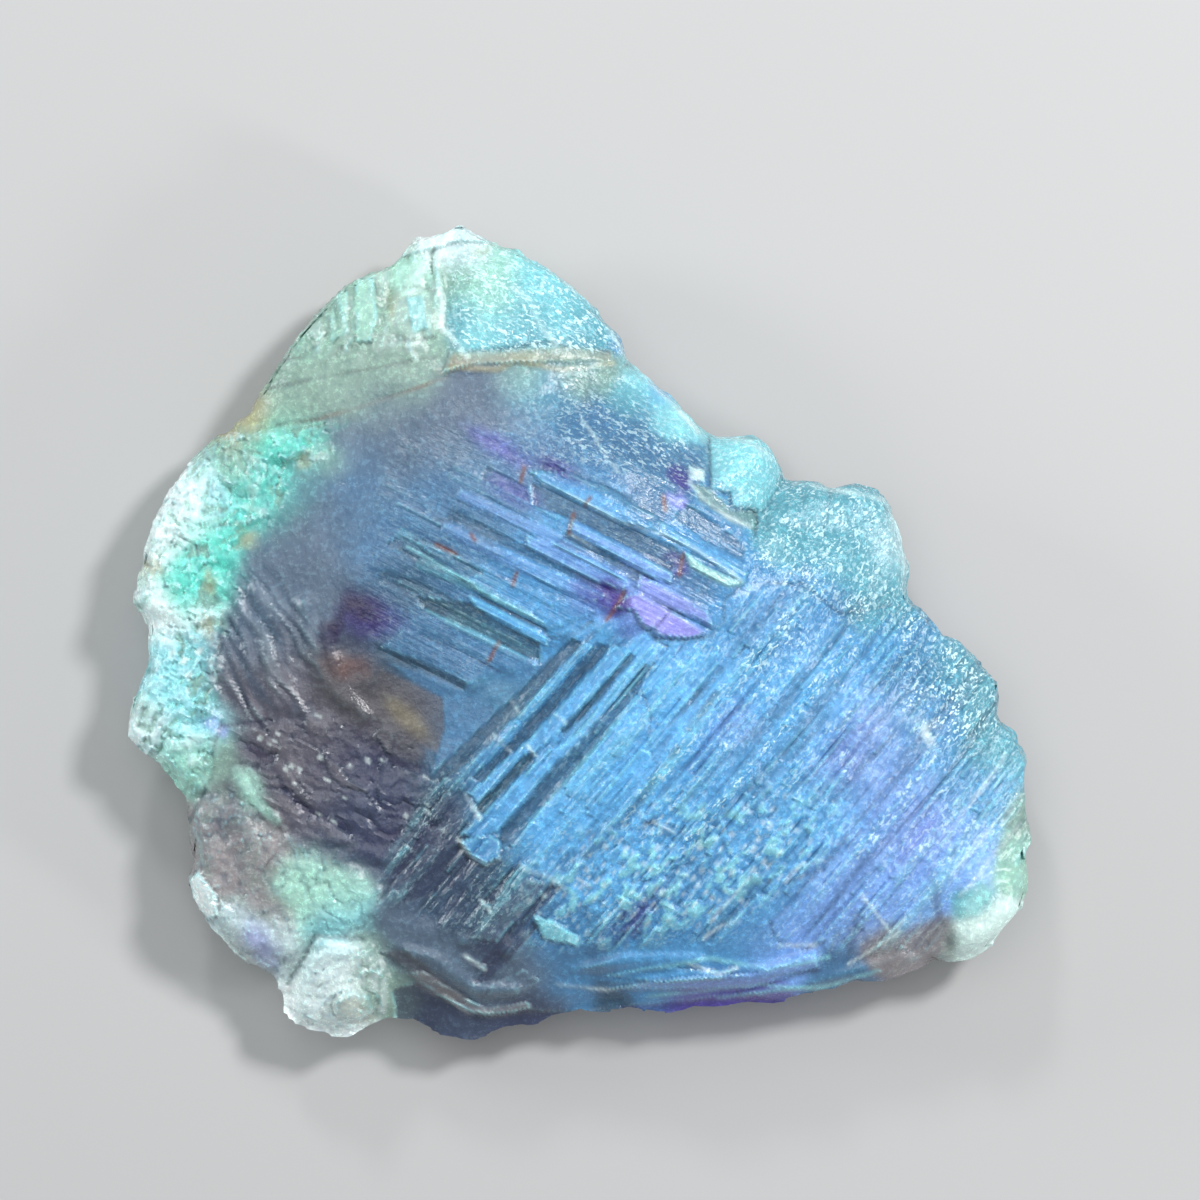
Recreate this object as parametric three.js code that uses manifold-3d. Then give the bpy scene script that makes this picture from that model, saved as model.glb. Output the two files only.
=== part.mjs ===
// Fluorite specimen: one intergrown crystal slab with stepped growth terraces, lying on its flat broken back.
// Millimetres, +Z up. X runs across the face, Y runs up the face as it is shown, and Z comes out of the face.
import * as THREE from 'three';
import { mergeVertices } from 'three/addons/utils/BufferGeometryUtils.js';
import Module from 'manifold-3d';

const wasm = await Module();
wasm.setup();

// Driving dimensions. Heights are above the surface that the slab lies on.
const SHOULDER = 13; // way in from the rim over which the face rises to its full height
const BACK_SHOULDER = 11; // way in from the rim over which the back falls to its flat middle
const RIM_FRONT = 8; // front edge of the broken rim
const RIM_MIDDLE = 6.2; // widest part of the broken rim
const RIM_BACK = 4.6; // back edge of the broken rim
const RIM_DROP_AT_FOOT = 2.4; // how much lower the rim lies along the bottom edge
const WALL_LEAN = 0.011; // how much narrower the slab gets for each millimetre from the middle of the rim
const FORM_FLOOR = 6.4; // height inside the slab from which the forms on the face rise
const FRACTURE = 0.3; // roughness of the broken faces
const SPREAD = 5.5; // how far each of the face heights below reaches
const FACE_CELLS = [34, 30]; // cells of the face along the two step directions
const BACK_CELLS = 14; // cells of the back each way
const FINEST = 0.02; // detail smaller than this is left out

// Height of the face at places inside the rim: x, y, z.
const FACE_HEIGHTS = [
  // cap at the top
  [-8, 32, 11.6], [-22, 28, 10.6], [-12, 38, 9.6],
  // slope below the cap
  [-3, 23.5, 13.4], [-14, 21, 13.2], [-27, 17, 11.6], [5, 20, 15.4],
  // stepped block above the middle
  [7, 14, 19], [-3, 14, 18.2], [-10, 10, 16.8], [10, 7, 17.8], [2, 7, 17.2], [-6, 3, 15.6], [-18, 8, 14.8],
  // corner where the two sets of steps meet
  [3, 0, 15.6], [-4, -3, 14.4], [-12, -6, 13.1], [-12, -1, 13.9], [-18, -9, 12.6],
  // smooth hill and wavy ridges at the left
  [-25, 1, 13.8], [-30, -6, 12], [-36, 10, 10.2], [-37, -2, 9.8], [-38, -10, 9.2],
  // rough patch and shoulder at the lower left
  [-25, -14, 12.2], [-17, -17, 12.4], [-32, -18, 11], [-30, -26, 10.4], [-21, -25, 11.4], [-23, -35, 9],
  // broad field at the lower right
  [4, -8, 16.6], [14, -2, 17], [12, -14, 17.4], [24, -8, 16], [22, -18, 15.6], [33, -12, 13.4], [36, -22, 12],
  [0, -20, 15.4], [10, -26, 14.4], [-9, -16, 13.9], [-8, -27, 12.4], [24, -28, 12.2], [0, -33, 10.4],
  // frosted lobes at the right
  [17, 15, 13.6], [24, 9, 14.6], [29, 8, 12.4], [20, 4, 15.8],
];

// The two directions that the growth steps follow, as seen on the face.
const ALONG_A = THREE.MathUtils.degToRad(-27);
const ALONG_B = THREE.MathUtils.degToRad(230);

// The broken outline of the slab, clockwise from its top, in stretches.
const OUTLINE = [
  // cap at the top, right flank
  [-11.8, 41.2], [-8.4, 39.3], [-6.2, 38.7], [-2.1, 36.1], [1.4, 33], [4.2, 30], [4.9, 27.3],
  // upper right flank
  [9, 24.1], [12.7, 20.3],
  // small round lobe
  [14, 19.8], [17.6, 19.9], [19, 19], [20.2, 17.3], [20.4, 15.1],
  // two right lobes
  [24, 15.3], [25.8, 14.5], [28, 15], [30.1, 14.5], [31.2, 13.4], [32.5, 9.8], [33.3, 6.8], [33, 3.4],
  // scalloped right edge
  [34.6, 2.5], [36.6, -0.2], [38.5, -1], [40.4, -2.9], [42.2, -4.7], [42.4, -8.6], [44, -10.2], [45.2, -12.6],
  [45, -17.8], [45.6, -20.9], [45, -21.9],
  // smooth lower right lobe
  [45.6, -24.6], [44.6, -28.2], [43, -30.4], [39.6, -32.8], [37, -33.1],
  // thin bottom edge
  [35.7, -32.8], [32, -34.9], [27.8, -35.1], [24, -36.2], [22, -36.3], [20.2, -37.6], [16.2, -37.2],
  [11, -38], [6.6, -38.5], [3.9, -38], [1, -38.1], [-4.4, -39.6], [-8, -39.9],
  // bottom point
  [-10.6, -41.2], [-12.6, -40.9], [-16, -39.5], [-18.6, -39.2], [-20.6, -39.5],
  // blocky nodule
  [-23.2, -40.9], [-25.6, -40.2], [-27, -39.9], [-28.5, -39.6], [-29.6, -38.4], [-30, -36.6],
  // lower left flank
  [-30.4, -34.7], [-32.3, -33.5], [-33.8, -32.9], [-35.3, -31.2], [-37.1, -29.8], [-38.4, -27.4],
  [-39.3, -25], [-38.4, -23.1], [-39.3, -20.5], [-39.4, -16.8],
  // left rim
  [-41, -14.4], [-42.6, -12.4], [-43.5, -12.2], [-45.6, -10.4], [-44.8, -6.6], [-43.3, -3.2],
  [-43.2, 0.8], [-44.9, 3.2], [-44, 6.4], [-43.1, 10], [-42, 13.2], [-40.2, 15.6], [-38.3, 18.3],
  [-36.6, 19.8], [-35.2, 20.3],
  // cap, left flank
  [-33.4, 22], [-31, 25.8], [-28.4, 30], [-25.6, 33], [-23, 35.5], [-18.4, 37.1], [-16.2, 40], [-14, 39.9],
];

// Smooth 0 to 1 step.
const ease = (t) => THREE.MathUtils.smoothstep(t, 0, 1);

// Place on the face from distances along the two step directions.
function lattice(a, b) {
  return [
    a * Math.cos(ALONG_A) + b * Math.cos(ALONG_B),
    a * Math.sin(ALONG_A) + b * Math.sin(ALONG_B),
  ];
}

// Distance from a place on the face to the nearest edge of the outline.
function insideRim(x, y) {
  const place = new THREE.Vector3(x, y, 0);
  const edge = new THREE.Line3();
  const nearest = new THREE.Vector3();
  return OUTLINE.reduce((least, [x0, y0], i) => {
    const [x1, y1] = OUTLINE[(i + 1) % OUTLINE.length];
    edge.start.set(x0, y0, 0);
    edge.end.set(x1, y1, 0);
    edge.closestPointToPoint(place, true, nearest);
    return Math.min(least, nearest.distanceTo(place));
  }, Infinity);
}

// Repeatable unevenness of a broken surface, from about -1 to 1.
function unevenness(x, y) {
  const waves = Math.sin(0.61 * x + 1.3 * Math.sin(0.37 * y)) + Math.sin(0.53 * y - 1.1 * Math.sin(0.43 * x));
  return 0.35 * waves + 0.3 * Math.sin(1.7 * x + 2.3 * y);
}

// Height of the face well inside the rim, blended from the heights of the places near by.
function crownHeight(x, y) {
  let height = 0;
  let weight = 0;
  FACE_HEIGHTS.forEach(([px, py, z]) => {
    const nearness = Math.exp(-((x - px) ** 2 + (y - py) ** 2) / (2 * SPREAD ** 2)) + 1e-9;
    height += nearness * z;
    weight += nearness;
  });
  return height / weight;
}

// Height of the rim, at its front or its back edge.
const rimHeight = (edge, y) => edge - RIM_DROP_AT_FOOT * ease((-28 - y) / 10);

// Height of the face anywhere, from the broken rim up to the crown.
function faceHeight(x, y) {
  const share = Math.min(1, insideRim(x, y) / SHOULDER);
  const rim = rimHeight(RIM_FRONT, y) + 0.6 * unevenness(1.3 * x, 1.3 * y);
  return THREE.MathUtils.lerp(rim, crownHeight(x, y), 1 - (1 - share) ** 2);
}

// Height of the back: flat in the middle, and rising to the rim.
function backHeight(x, y) {
  const share = Math.min(1, insideRim(x, y) / BACK_SHOULDER);
  const bulge = 0.35 * (1 - share) * Math.abs(unevenness(y, x));
  return share < 1 ? rimHeight(RIM_BACK, y) * (1 - share) ** 1.4 + bulge : 0;
}

// Turns a closed three.js geometry into a solid that can be joined and cut.
function toSolid(geometry) {
  const bare = geometry.clone();
  bare.deleteAttribute('normal');
  bare.deleteAttribute('uv');
  const merged = mergeVertices(bare, 1e-4);
  return new wasm.Manifold(new wasm.Mesh({
    numProp: 3,
    vertProperties: new Float32Array(merged.attributes.position.array),
    triVerts: new Uint32Array(merged.index.array),
  }));
}

// A closed outline as a three.js shape.
const shapeOf = (points) => new THREE.Shape(points.map(([x, y]) => new THREE.Vector2(x, y)));

// Moves each point of a geometry to where move puts it.
function reshape(geometry, move) {
  const place = geometry.attributes.position;
  const point = new THREE.Vector3();
  for (let i = 0; i < place.count; i += 1) {
    move(point.fromBufferAttribute(place, i));
    place.setXYZ(i, point.x, point.y, point.z);
  }
  return geometry;
}

// The slab itself: a block with the height of the face on top, one with the height of the back below, and the
// broken outline, all crossed.
function slabBody() {
  const face = reshape(new THREE.BoxGeometry(98, 90, 1, ...FACE_CELLS, 1), (p) => {
    const shift = 0.7 * unevenness(3 * p.x, 3 * p.y);
    const [x, y] = lattice(p.x + 4 + shift, -p.y + 8 - shift);
    p.set(x, y, p.z > 0 ? faceHeight(x, y) + FRACTURE * unevenness(2 * x, 2 * y) : -2);
  });
  const back = reshape(new THREE.BoxGeometry(98, 90, 1, BACK_CELLS, BACK_CELLS, 1), (p) => {
    p.z = p.z > 0 ? 30 : backHeight(p.x, p.y);
  });
  const prism = new THREE.ExtrudeGeometry(shapeOf(OUTLINE), { depth: 30, steps: 10, bevelEnabled: false });
  const wall = reshape(prism, (p) => {
    p.z -= 3;
    const lean = p.z > RIM_MIDDLE ? WALL_LEAN * (p.z - RIM_MIDDLE) : 2 * WALL_LEAN * (RIM_MIDDLE - p.z);
    p.x *= 1 - lean;
    p.y *= 1 - lean;
  });
  return toSolid(face).intersect(toSolid(back)).intersect(toSolid(wall));
}

// A flat-topped plate that stands proud of the face by lift, with sloping edges.
function plate(points, lift, { edge = 0.7, lean = [0, 0] } = {}) {
  const geometry = new THREE.ExtrudeGeometry(shapeOf(points), {
    depth: 1,
    bevelEnabled: true,
    bevelThickness: 0.5,
    bevelSize: edge,
    bevelOffset: -edge,
    bevelSegments: 1,
  });
  const middleX = points.reduce((sum, p) => sum + p[0], 0) / points.length;
  const middleY = points.reduce((sum, p) => sum + p[1], 0) / points.length;
  return toSolid(reshape(geometry, (p) => {
    const tilt = lean[0] * (p.x - middleX) + lean[1] * (p.y - middleY);
    const height = faceHeight(p.x, p.y) + tilt;
    if (p.z > 1.2) {
      p.z = height + lift;
    } else {
      p.z = p.z > 0.5 ? height + 0.4 * lift : rimHeight(FORM_FLOOR, p.y);
    }
  }));
}

// A growth step: a bar that lies level with the face along its back and stands proud of it by lift along its
// front. It runs from one length to another, along direction A or B.
function growthStep(direction, [from, to, back, front, lift], ragged = 0.35) {
  const pieces = Math.max(1, Math.round((to - from) / 5));
  return toSolid(reshape(new THREE.BoxGeometry(1, 1, 1, pieces, 1, 1), (p) => {
    const isFront = p.y > 0;
    const isTop = p.z > 0;
    const jitter = ragged * unevenness(2.7 * (from - to * p.x), 3.1 * (back + front * p.y));
    const inset = isTop ? 0.35 : 0;
    const end = Math.abs(p.x) > 0.49 ? Math.sign(p.x) * (inset + 2 * Math.abs(jitter)) : 0;
    const along = THREE.MathUtils.lerp(to, from, p.x + 0.5) + end;
    const across = (isFront ? front + Math.sign(back - front) * inset : back) + jitter;
    const [x, y] = direction === 'A' ? lattice(along, across) : lattice(across, along);
    const top = faceHeight(x, y) + (isFront ? lift : -0.25);
    p.set(x, y, isTop ? top : rimHeight(FORM_FLOOR, y));
  }));
}

// Steps along direction A, down from the upper right to the lower left: from, to, back, front, lift.
function stepsAlongA() {
  const rows = [
    [-8.6, 6.4, -20.5, -16.2, 0.9], [-12.4, 9.6, -16.6, -12, 1], [-9.2, 10, -13, -9.6, 0.9],
    [-13.4, 9.3, -10.4, -8.2, 0.75], [-11, 10.2, -9, -6.6, 0.8], [-13.8, 8.6, -7.4, -4.8, 0.7],
    [-15.8, 7.4, -5.8, -3.3, 0.9], [-17.4, -4.4, -4, -1.6, 0.6], [-15, 1.6, -3.4, 1, 1.1],
    [-12.4, -1.6, 0.4, 3.6, 1.3], [-16.8, -2.2, 3, 7.1, 0.6], [-15.2, -4, 6.4, 10.2, 1.1],
    [-24.6, -17, -11, -7.5, 0.5], [-23, -18.4, -5, -1.6, 0.45],
  ];
  return rows.map((row) => growthStep('A', row));
}

// Steps along direction B, up from the corner at the middle to the broad lower right field: from, to, back,
// front, lift.
function stepsAlongB() {
  const rows = [
    [-3, 17.4, 2.6, 0.1, 1], [-4, 12.4, 4.3, 2.5, 0.9], [-4, 20.2, 7.6, 4.5, 1], [-2.6, 22.4, 12.6, 8.2, 1.2],
    [-5.4, 16.2, 16.4, 13.2, 0.8], [-4.6, 8.6, 20.6, 17.6, 0.8], [10.2, 18.6, 20.2, 17, 0.7],
    // long bars that run out to the lower left
    [19, 31.6, 6, 3.2, 0.9], [21.4, 29, 9.6, 6.6, 1.1], [21.6, 34, 13.4, 10.4, 1.2],
    [18.4, 33.4, 17.4, 14.2, 1], [20.4, 30.4, 21.6, 18.6, 0.8],
  ];
  return rows.map((row) => growthStep('B', row));
}

// Low parallel ridges that cross the lower right field down to its scalloped edge: from, to, back, front, lift.
function fieldRidges() {
  const rows = [
    [-11, 6.4, 24.6, 22.4, 0.6], [9.4, 20, 25.4, 23.2, 0.7], [-14.6, -2, 27.6, 25.6, 0.6],
    [0.6, 13.6, 29.4, 27.2, 0.75], [-12.6, 1, 32.6, 30.6, 0.65], [4, 17.6, 33.8, 31.4, 0.8],
    [-8, 3.6, 36.6, 34.4, 0.7], [6.6, 15, 37.6, 35.6, 0.7], [-9.4, 2, 40.4, 38.4, 0.7],
    [3.2, 12, 41.8, 39.8, 0.8], [-5.6, 8.4, 45, 42.6, 0.8], [-3, 5, 48, 46.2, 0.7],
  ];
  return rows.map((row) => growthStep('B', row, 0.5));
}

// The pale cap at the top, with a ledge along its lower side and flutes down its left half.
function cap() {
  const whole = [
    [-32.4, 21.1], [-31, 24.1], [-27.4, 29.8], [-22.6, 34.6], [-18, 36.2], [-15.6, 38.8], [-11.8, 40.2],
    [-7.8, 38.3], [-2.5, 35.3], [1.4, 31.6], [3.6, 28.4], [-1.8, 27.4], [-7.8, 26.2], [-12.8, 25.6],
    [-17.8, 24.2], [-24.8, 22.2],
  ];
  const right = [
    [-12.8, 37.6], [-10.8, 38.9], [-7.8, 37.8], [-2.9, 34.9], [0.6, 31.2], [2.4, 29], [-1.8, 28.7],
    [-7.8, 27.9], [-12.4, 27.6], [-12.2, 31.4],
  ];
  const peak = [[-17.6, 37], [-15.4, 39.2], [-11.8, 40.6], [-9.2, 39.1], [-11.8, 37.9], [-14.6, 36.4]];
  const flutes = [
    { x: -28.6, top: 29.2, foot: 24.8, width: 2 },
    { x: -26, top: 31.8, foot: 26.2, width: 1.7 },
    { x: -23.8, top: 34.2, foot: 25.4, width: 2.2 },
    { x: -20.9, top: 35, foot: 27.8, width: 1.6 },
    { x: -18.7, top: 36.2, foot: 27, width: 2.4 },
    { x: -15.5, top: 36.6, foot: 29.4, width: 1.9 },
  ].map(({ x, top, foot, width }) => plate([
    [x, foot + 0.6], [x + 0.7 * width, foot], [x + width, foot + 1.4], [x + width + 0.5, top - 0.4],
    [x + 0.9, top],
  ], 1, { edge: 0.6, lean: [0.06, 0] }));
  return [plate(whole, 0.7), plate(right, 1.2, { edge: 0.6 }), plate(peak, 1.1, { edge: 0.5 }), ...flutes];
}

// Frosted lobes along the upper right, under the jagged end of the stepped block.
function rightLobes() {
  const small = [
    [13.2, 19.1], [17.7, 19.4], [19, 18.3], [19.8, 17.1], [19.9, 15.4], [19, 13.3], [18.2, 12.1],
    [15.8, 12.6], [15.7, 14.2], [13.4, 14.7],
  ];
  const large = [
    [20.6, 14.5], [24.2, 14.7], [26.4, 14], [28.8, 14.3], [30.4, 13.3], [31.6, 10.2], [32.4, 6.5], [32, 3.6],
    [29.8, 2.1], [26, 3.5], [21.4, 6.8], [18.6, 9.2], [18.8, 11.9],
  ];
  return [plate(small, 0.9, { edge: 0.6 }), plate(large, 0.7, { edge: 0.8 })];
}

// The bright crinkled crust down the left rim, as ragged overlapping flakes.
function leftCrust() {
  const flakes = [
    [
      [-42.2, 11.6], [-40.4, 14.6], [-37.6, 17.9], [-34.8, 20], [-29.6, 20.4], [-26.2, 18.6], [-28.6, 16.9],
      [-30.4, 17.2], [-32.2, 14], [-35.6, 14.4], [-36.6, 11.2], [-39.8, 11.6],
    ],
    [
      [-43.2, 6.6], [-42.4, 11], [-39.6, 13.2], [-37.4, 12.2], [-35, 13.4], [-31.9, 11.5], [-34.2, 8.8],
      [-33.8, 6.6], [-36.4, 6.9], [-37.6, 4.6], [-40.4, 6],
    ],
    [
      [-43.9, 3.2], [-43.3, 6.2], [-40.8, 8], [-38.2, 6.6], [-36.3, 7.6], [-35.2, 4.2], [-36.8, 2],
      [-38.4, 2.8], [-40.6, 1.2],
    ],
    [
      [-42.6, -3.2], [-42.4, 0.8], [-43.2, 2.6], [-40.2, 3.6], [-37.4, 2.4], [-34.9, 2.6], [-35.6, -1.4],
      [-35.2, -4.6], [-37.8, -3.6], [-38.8, -5.8], [-41.6, -4.6],
    ],
    [
      [-44.7, -10], [-44.2, -6.8], [-42.4, -3.6], [-39, -4.4], [-37.6, -2.8], [-35.6, -5.6], [-36.4, -8.4],
      [-39.4, -8.8], [-40.2, -11.2], [-43.4, -11.4],
    ],
    [
      [-41.4, -12.6], [-40.6, -9.2], [-37.6, -9.6], [-35.4, -7.6], [-35.1, -11.4], [-36.4, -13.6],
      [-36.8, -15.6], [-38.4, -15.9],
    ],
  ];
  return flakes.map((points, i) => plate(points, 0.75 + 0.3 * unevenness(5 * i, 2 * i), {
    edge: 0.5,
    lean: [0.05 - 0.06 * (i % 3), 0.04],
  }));
}

// Wavy ridges that run down beside the crust, around the smooth hill at the left.
function wavyRidges() {
  return Array.from({ length: 5 }, (_, i) => {
    const wave = unevenness(9 * i, 4 * i + 1);
    const x = -34.6 + 2.3 * i + 0.8 * wave;
    const top = 4.6 - 1.1 * i + 3 * wave;
    const foot = -8.8 + 2.6 * wave;
    return plate([
      [x - 0.7, top], [x + 0.5, top + 0.7], [x + 2.4, 0.6 * foot], [x + 5.2, foot], [x + 4, foot - 0.5],
      [x + 0.9, 0.6 * foot],
    ], 0.4 + 0.2 * wave, { edge: 0.35 });
  });
}

// Smooth shoulder, blocky nodule and its round boss at the lower left.
function lowerLeft() {
  const shoulder = [
    [-38.2, -17.4], [-36.4, -16.3], [-33.4, -17.2], [-28.8, -21.2], [-24.8, -22.3], [-19.6, -23.8],
    [-18.2, -26.9], [-20.8, -29.9], [-26, -29.7], [-28.6, -32.6], [-32.8, -31.8], [-36.2, -28.9],
    [-38, -25.1],
  ];
  const nodule = [
    [-26, -30], [-23.3, -30.4], [-20.4, -31.1], [-18.8, -34.1], [-18.4, -37], [-20.6, -38.6], [-23.2, -40],
    [-25.8, -39.4], [-28.2, -38.6], [-28.7, -36.6], [-27.6, -34],
  ];
  const boss = Array.from({ length: 9 }, (_, i) => {
    const turn = (i / 9) * 2 * Math.PI;
    return [-22.6 + 2.1 * Math.cos(turn), -36.7 + 2.1 * Math.sin(turn)];
  });
  return [
    plate(shoulder, 0.8, { edge: 1.4 }),
    plate(nodule, 1.6, { edge: 1 }),
    plate(boss, 2.2, { edge: 0.6 }),
  ];
}

// Short chipped ledges of the rough dark patch.
function roughPatch() {
  const ledges = [];
  for (let row = 0; row < 6; row += 1) {
    for (let column = 0; column < 3; column += 1) {
      const jitter = unevenness(7.1 * column + 3 * row, 5.3 * row - column);
      const from = -14.6 + 5 * column + 0.8 * row + 1.6 * jitter;
      const back = 19.6 + 2.2 * row + 0.9 * jitter;
      ledges.push(growthStep('A', [from, from + 3.8 + jitter, back, back + 2.1, 0.8 + 0.3 * jitter], 0.9));
    }
  }
  return ledges;
}

// The thin folded ledges and the dark bevel of the bottom edge.
function bottomEdge() {
  const ridge = [
    [-18.8, -30.6], [-14.8, -33.2], [-10.4, -36.2], [-5.8, -36.2], [-5.4, -35], [-9.8, -34.8], [-14, -31.8],
  ];
  const folds = [
    [[-1.6, -33.6], [5, -31.7], [12.2, -31.8], [12.8, -33.2], [4.6, -33.4]],
    [[3.4, -34.8], [10.2, -33.6], [17.4, -33.2], [23.6, -31.4], [24, -33], [17, -34.9], [9.8, -35.4]],
    [
      [9, -36.6], [17.2, -35.8], [26, -33.6], [32.8, -31.6], [34.4, -32.3], [31.2, -34.2], [26, -34.9],
      [20.2, -36.2],
    ],
  ];
  const lobe = [
    [37.4, -31.9], [36.8, -29.9], [38.2, -27.3], [41.2, -24], [44.2, -23.2], [44.6, -25.1], [43.7, -28],
    [42.3, -29.8], [39.6, -31.9],
  ];
  return [
    plate(ridge, 0.9, { edge: 0.4 }),
    ...folds.map((points) => plate(points, 0.8, { edge: 0.2 })),
    plate(lobe, 1.1, { edge: 1.3 }),
  ];
}

// Shallow cleavage steps broken out of the back, which leave its middle flat.
function backSteps() {
  const steps = [
    { points: [[-36, 26], [-14, 26], [-20, 12], [-33, 5]], depth: 1.5 },
    { points: [[-8, 34], [10, 30], [14, 18], [2, 17], [-6, 22]], depth: 1.1 },
    { points: [[22, 12], [38, 4], [40, -16], [30, -14], [22, -2]], depth: 1.7 },
    { points: [[28, -20], [42, -22], [36, -36], [14, -38], [16, -27]], depth: 1.2 },
    { points: [[-12, -28], [-2, -44], [-34, -44], [-36, -24], [-24, -20]], depth: 1.4 },
  ];
  return steps.map(({ points, depth }) => toSolid(new THREE.ExtrudeGeometry(shapeOf(points), {
    depth: depth + 2,
    bevelEnabled: true,
    bevelThickness: 0.6,
    bevelSize: 0.6,
    bevelOffset: -0.6,
    bevelSegments: 1,
  }).translate(0, 0, -2.6)));
}

// Turns a solid back into a three.js geometry.
function toGeometry(solid) {
  const { vertProperties, triVerts } = solid.getMesh();
  const geometry = new THREE.BufferGeometry();
  geometry.setAttribute('position', new THREE.BufferAttribute(new Float32Array(vertProperties), 3));
  geometry.setIndex(new THREE.BufferAttribute(new Uint32Array(triVerts), 1));
  return geometry;
}

// The outer shell of a solid alone, which fills any pocket closed in under overlapping forms.
function outerShell(solid) {
  return solid.decompose().reduce((largest, shell) => (shell.volume() > largest.volume() ? shell : largest));
}

// Joins everything into one solid and sets its box on the middle of the frame.
function fluorite() {
  const forms = [
    ...stepsAlongA(), ...stepsAlongB(), ...fieldRidges(), ...cap(), ...rightLobes(), ...leftCrust(),
    ...wavyRidges(), ...lowerLeft(), ...roughPatch(), ...bottomEdge(),
  ];
  const joined = forms.reduce((sum, form) => sum.add(form), slabBody());
  const cut = backSteps().reduce((rest, step) => rest.subtract(step), joined);
  const geometry = toGeometry(outerShell(cut.simplify(FINEST)));
  geometry.computeBoundingBox();
  const { min, max } = geometry.boundingBox;
  geometry.translate(-(min.x + max.x) / 2, -(min.y + max.y) / 2, -min.z);
  geometry.computeVertexNormals();
  return geometry;
}

const crystal = new THREE.Mesh(fluorite(), new THREE.MeshStandardMaterial({
  name: 'fluorite',
  color: new THREE.Color(0.36, 0.6, 0.78),
  roughness: 0.35,
  metalness: 0,
}));
crystal.name = 'fluorite_crystal';

const specimen = new THREE.Group();
specimen.add(crystal);

export default specimen;
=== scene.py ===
import math

import bpy
import numpy as np
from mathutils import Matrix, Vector
from mathutils.bvhtree import BVHTree


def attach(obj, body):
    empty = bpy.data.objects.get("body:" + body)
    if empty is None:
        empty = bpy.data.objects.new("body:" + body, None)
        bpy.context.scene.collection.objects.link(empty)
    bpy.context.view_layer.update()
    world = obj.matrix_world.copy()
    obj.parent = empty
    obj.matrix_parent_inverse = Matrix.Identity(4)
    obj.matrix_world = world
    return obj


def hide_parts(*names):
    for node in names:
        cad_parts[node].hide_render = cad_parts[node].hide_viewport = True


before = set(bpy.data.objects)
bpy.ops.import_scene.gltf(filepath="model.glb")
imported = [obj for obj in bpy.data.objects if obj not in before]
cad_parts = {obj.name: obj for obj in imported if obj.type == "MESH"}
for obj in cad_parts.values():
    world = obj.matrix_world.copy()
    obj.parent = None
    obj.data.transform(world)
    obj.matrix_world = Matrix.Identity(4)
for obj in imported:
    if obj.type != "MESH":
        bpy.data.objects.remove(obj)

NODE = "fluorite_crystal"
MM = 0.001
CELL = 0.27  # spacing of the fine grid of the face
SPAN_A = (-43.5, 55.5)  # reach of the face along the first step direction
SPAN_B = (-34.5, 51.5)  # reach of the face along the second step direction
SHELL_VOXEL = 0.6  # detail of the rim and the back
SEED = 7
CLOSE_REACH = 0.35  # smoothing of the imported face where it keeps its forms
WIDE_REACH = 1.6  # smoothing where the fine relief draws the steps anew
FAR_HEIGHT = 7.0  # height of the grid away from the solid
BLOCK_BOTTOM = -3  # how low the block under the fine face reaches
SHARP_ANGLE = math.radians(24)  # edges bent more than this are shaded as edges
FACE_CLEARANCE = 5  # how far the shell's top is lifted clear of the fine face
CRACK_DEPTH = 0.1
EDGE_HEIGHT = 0.12
MASKS = ("frost_a", "frost_b", "block", "field")  # stored on the mesh and read by its material

# The two directions that the growth steps follow, as seen on the face.
ALONG_A = math.radians(-27)
ALONG_B = math.radians(230)

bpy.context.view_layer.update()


# Places on the face

def to_face(a, b):
    """Place on the face from distances along the two step directions."""
    x = a * math.cos(ALONG_A) + b * math.cos(ALONG_B)
    y = a * math.sin(ALONG_A) + b * math.sin(ALONG_B)
    return x, y


def to_lattice(x, y):
    """Distances along the two step directions of a place on the face."""
    turn = math.sin(ALONG_B - ALONG_A)
    a = (x * math.sin(ALONG_B) - y * math.cos(ALONG_B)) / turn
    b = (y * math.cos(ALONG_A) - x * math.sin(ALONG_A)) / turn
    return a, b


def ease(t):
    t = np.clip(t, 0, 1)
    return t * t * (3 - 2 * t)


def turned(x, y, middle, turn):
    """Distances from the middle along and across a direction in degrees."""
    angle = math.radians(turn)
    u = (x - middle[0]) * math.cos(angle) + (y - middle[1]) * math.sin(angle)
    v = (y - middle[1]) * math.cos(angle) - (x - middle[0]) * math.sin(angle)
    return u, v


def patch(x, y, middle, reach, turn=0.0, soft=0.5):
    """1 inside an ellipse, falling to 0 at its edge over the share soft of its radius."""
    u, v = turned(x, y, middle, turn)
    return ease((1 - np.hypot(u / reach[0], v / reach[1])) / soft)


def distance_to(x, y, points, closed=False):
    """Distance to a polyline."""
    least = np.full(np.shape(x), np.inf)
    ends = points[1:] + points[:1] if closed else points[1:]
    for (x0, y0), (x1, y1) in zip(points, ends):
        dx, dy = x1 - x0, y1 - y0
        share = np.clip(((x - x0) * dx + (y - y0) * dy) / (dx * dx + dy * dy), 0, 1)
        least = np.minimum(least, np.hypot(x - x0 - share * dx, y - y0 - share * dy))
    return least


def stroke(x, y, points, width, soft=0.3):
    """1 along a polyline of that width, falling to 0 over the distance soft."""
    return ease(0.5 + (0.5 * width - distance_to(x, y, points)) / soft)


def area(x, y, points, soft=1.0):
    """1 inside a polygon, falling to 0 over the distance soft around its edge."""
    within = np.zeros(np.shape(x), bool)
    for (x0, y0), (x1, y1) in zip(points, points[1:] + points[:1]):
        crosses = (y0 > y) != (y1 > y)
        with np.errstate(divide="ignore", invalid="ignore"):
            left = x < (x1 - x0) * (y - y0) / (y1 - y0) + x0
        within ^= crosses & left
    depth = np.where(within, 1, -1) * distance_to(x, y, points, closed=True)
    return ease(0.5 + depth / soft)


# Repeatable noise

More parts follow.
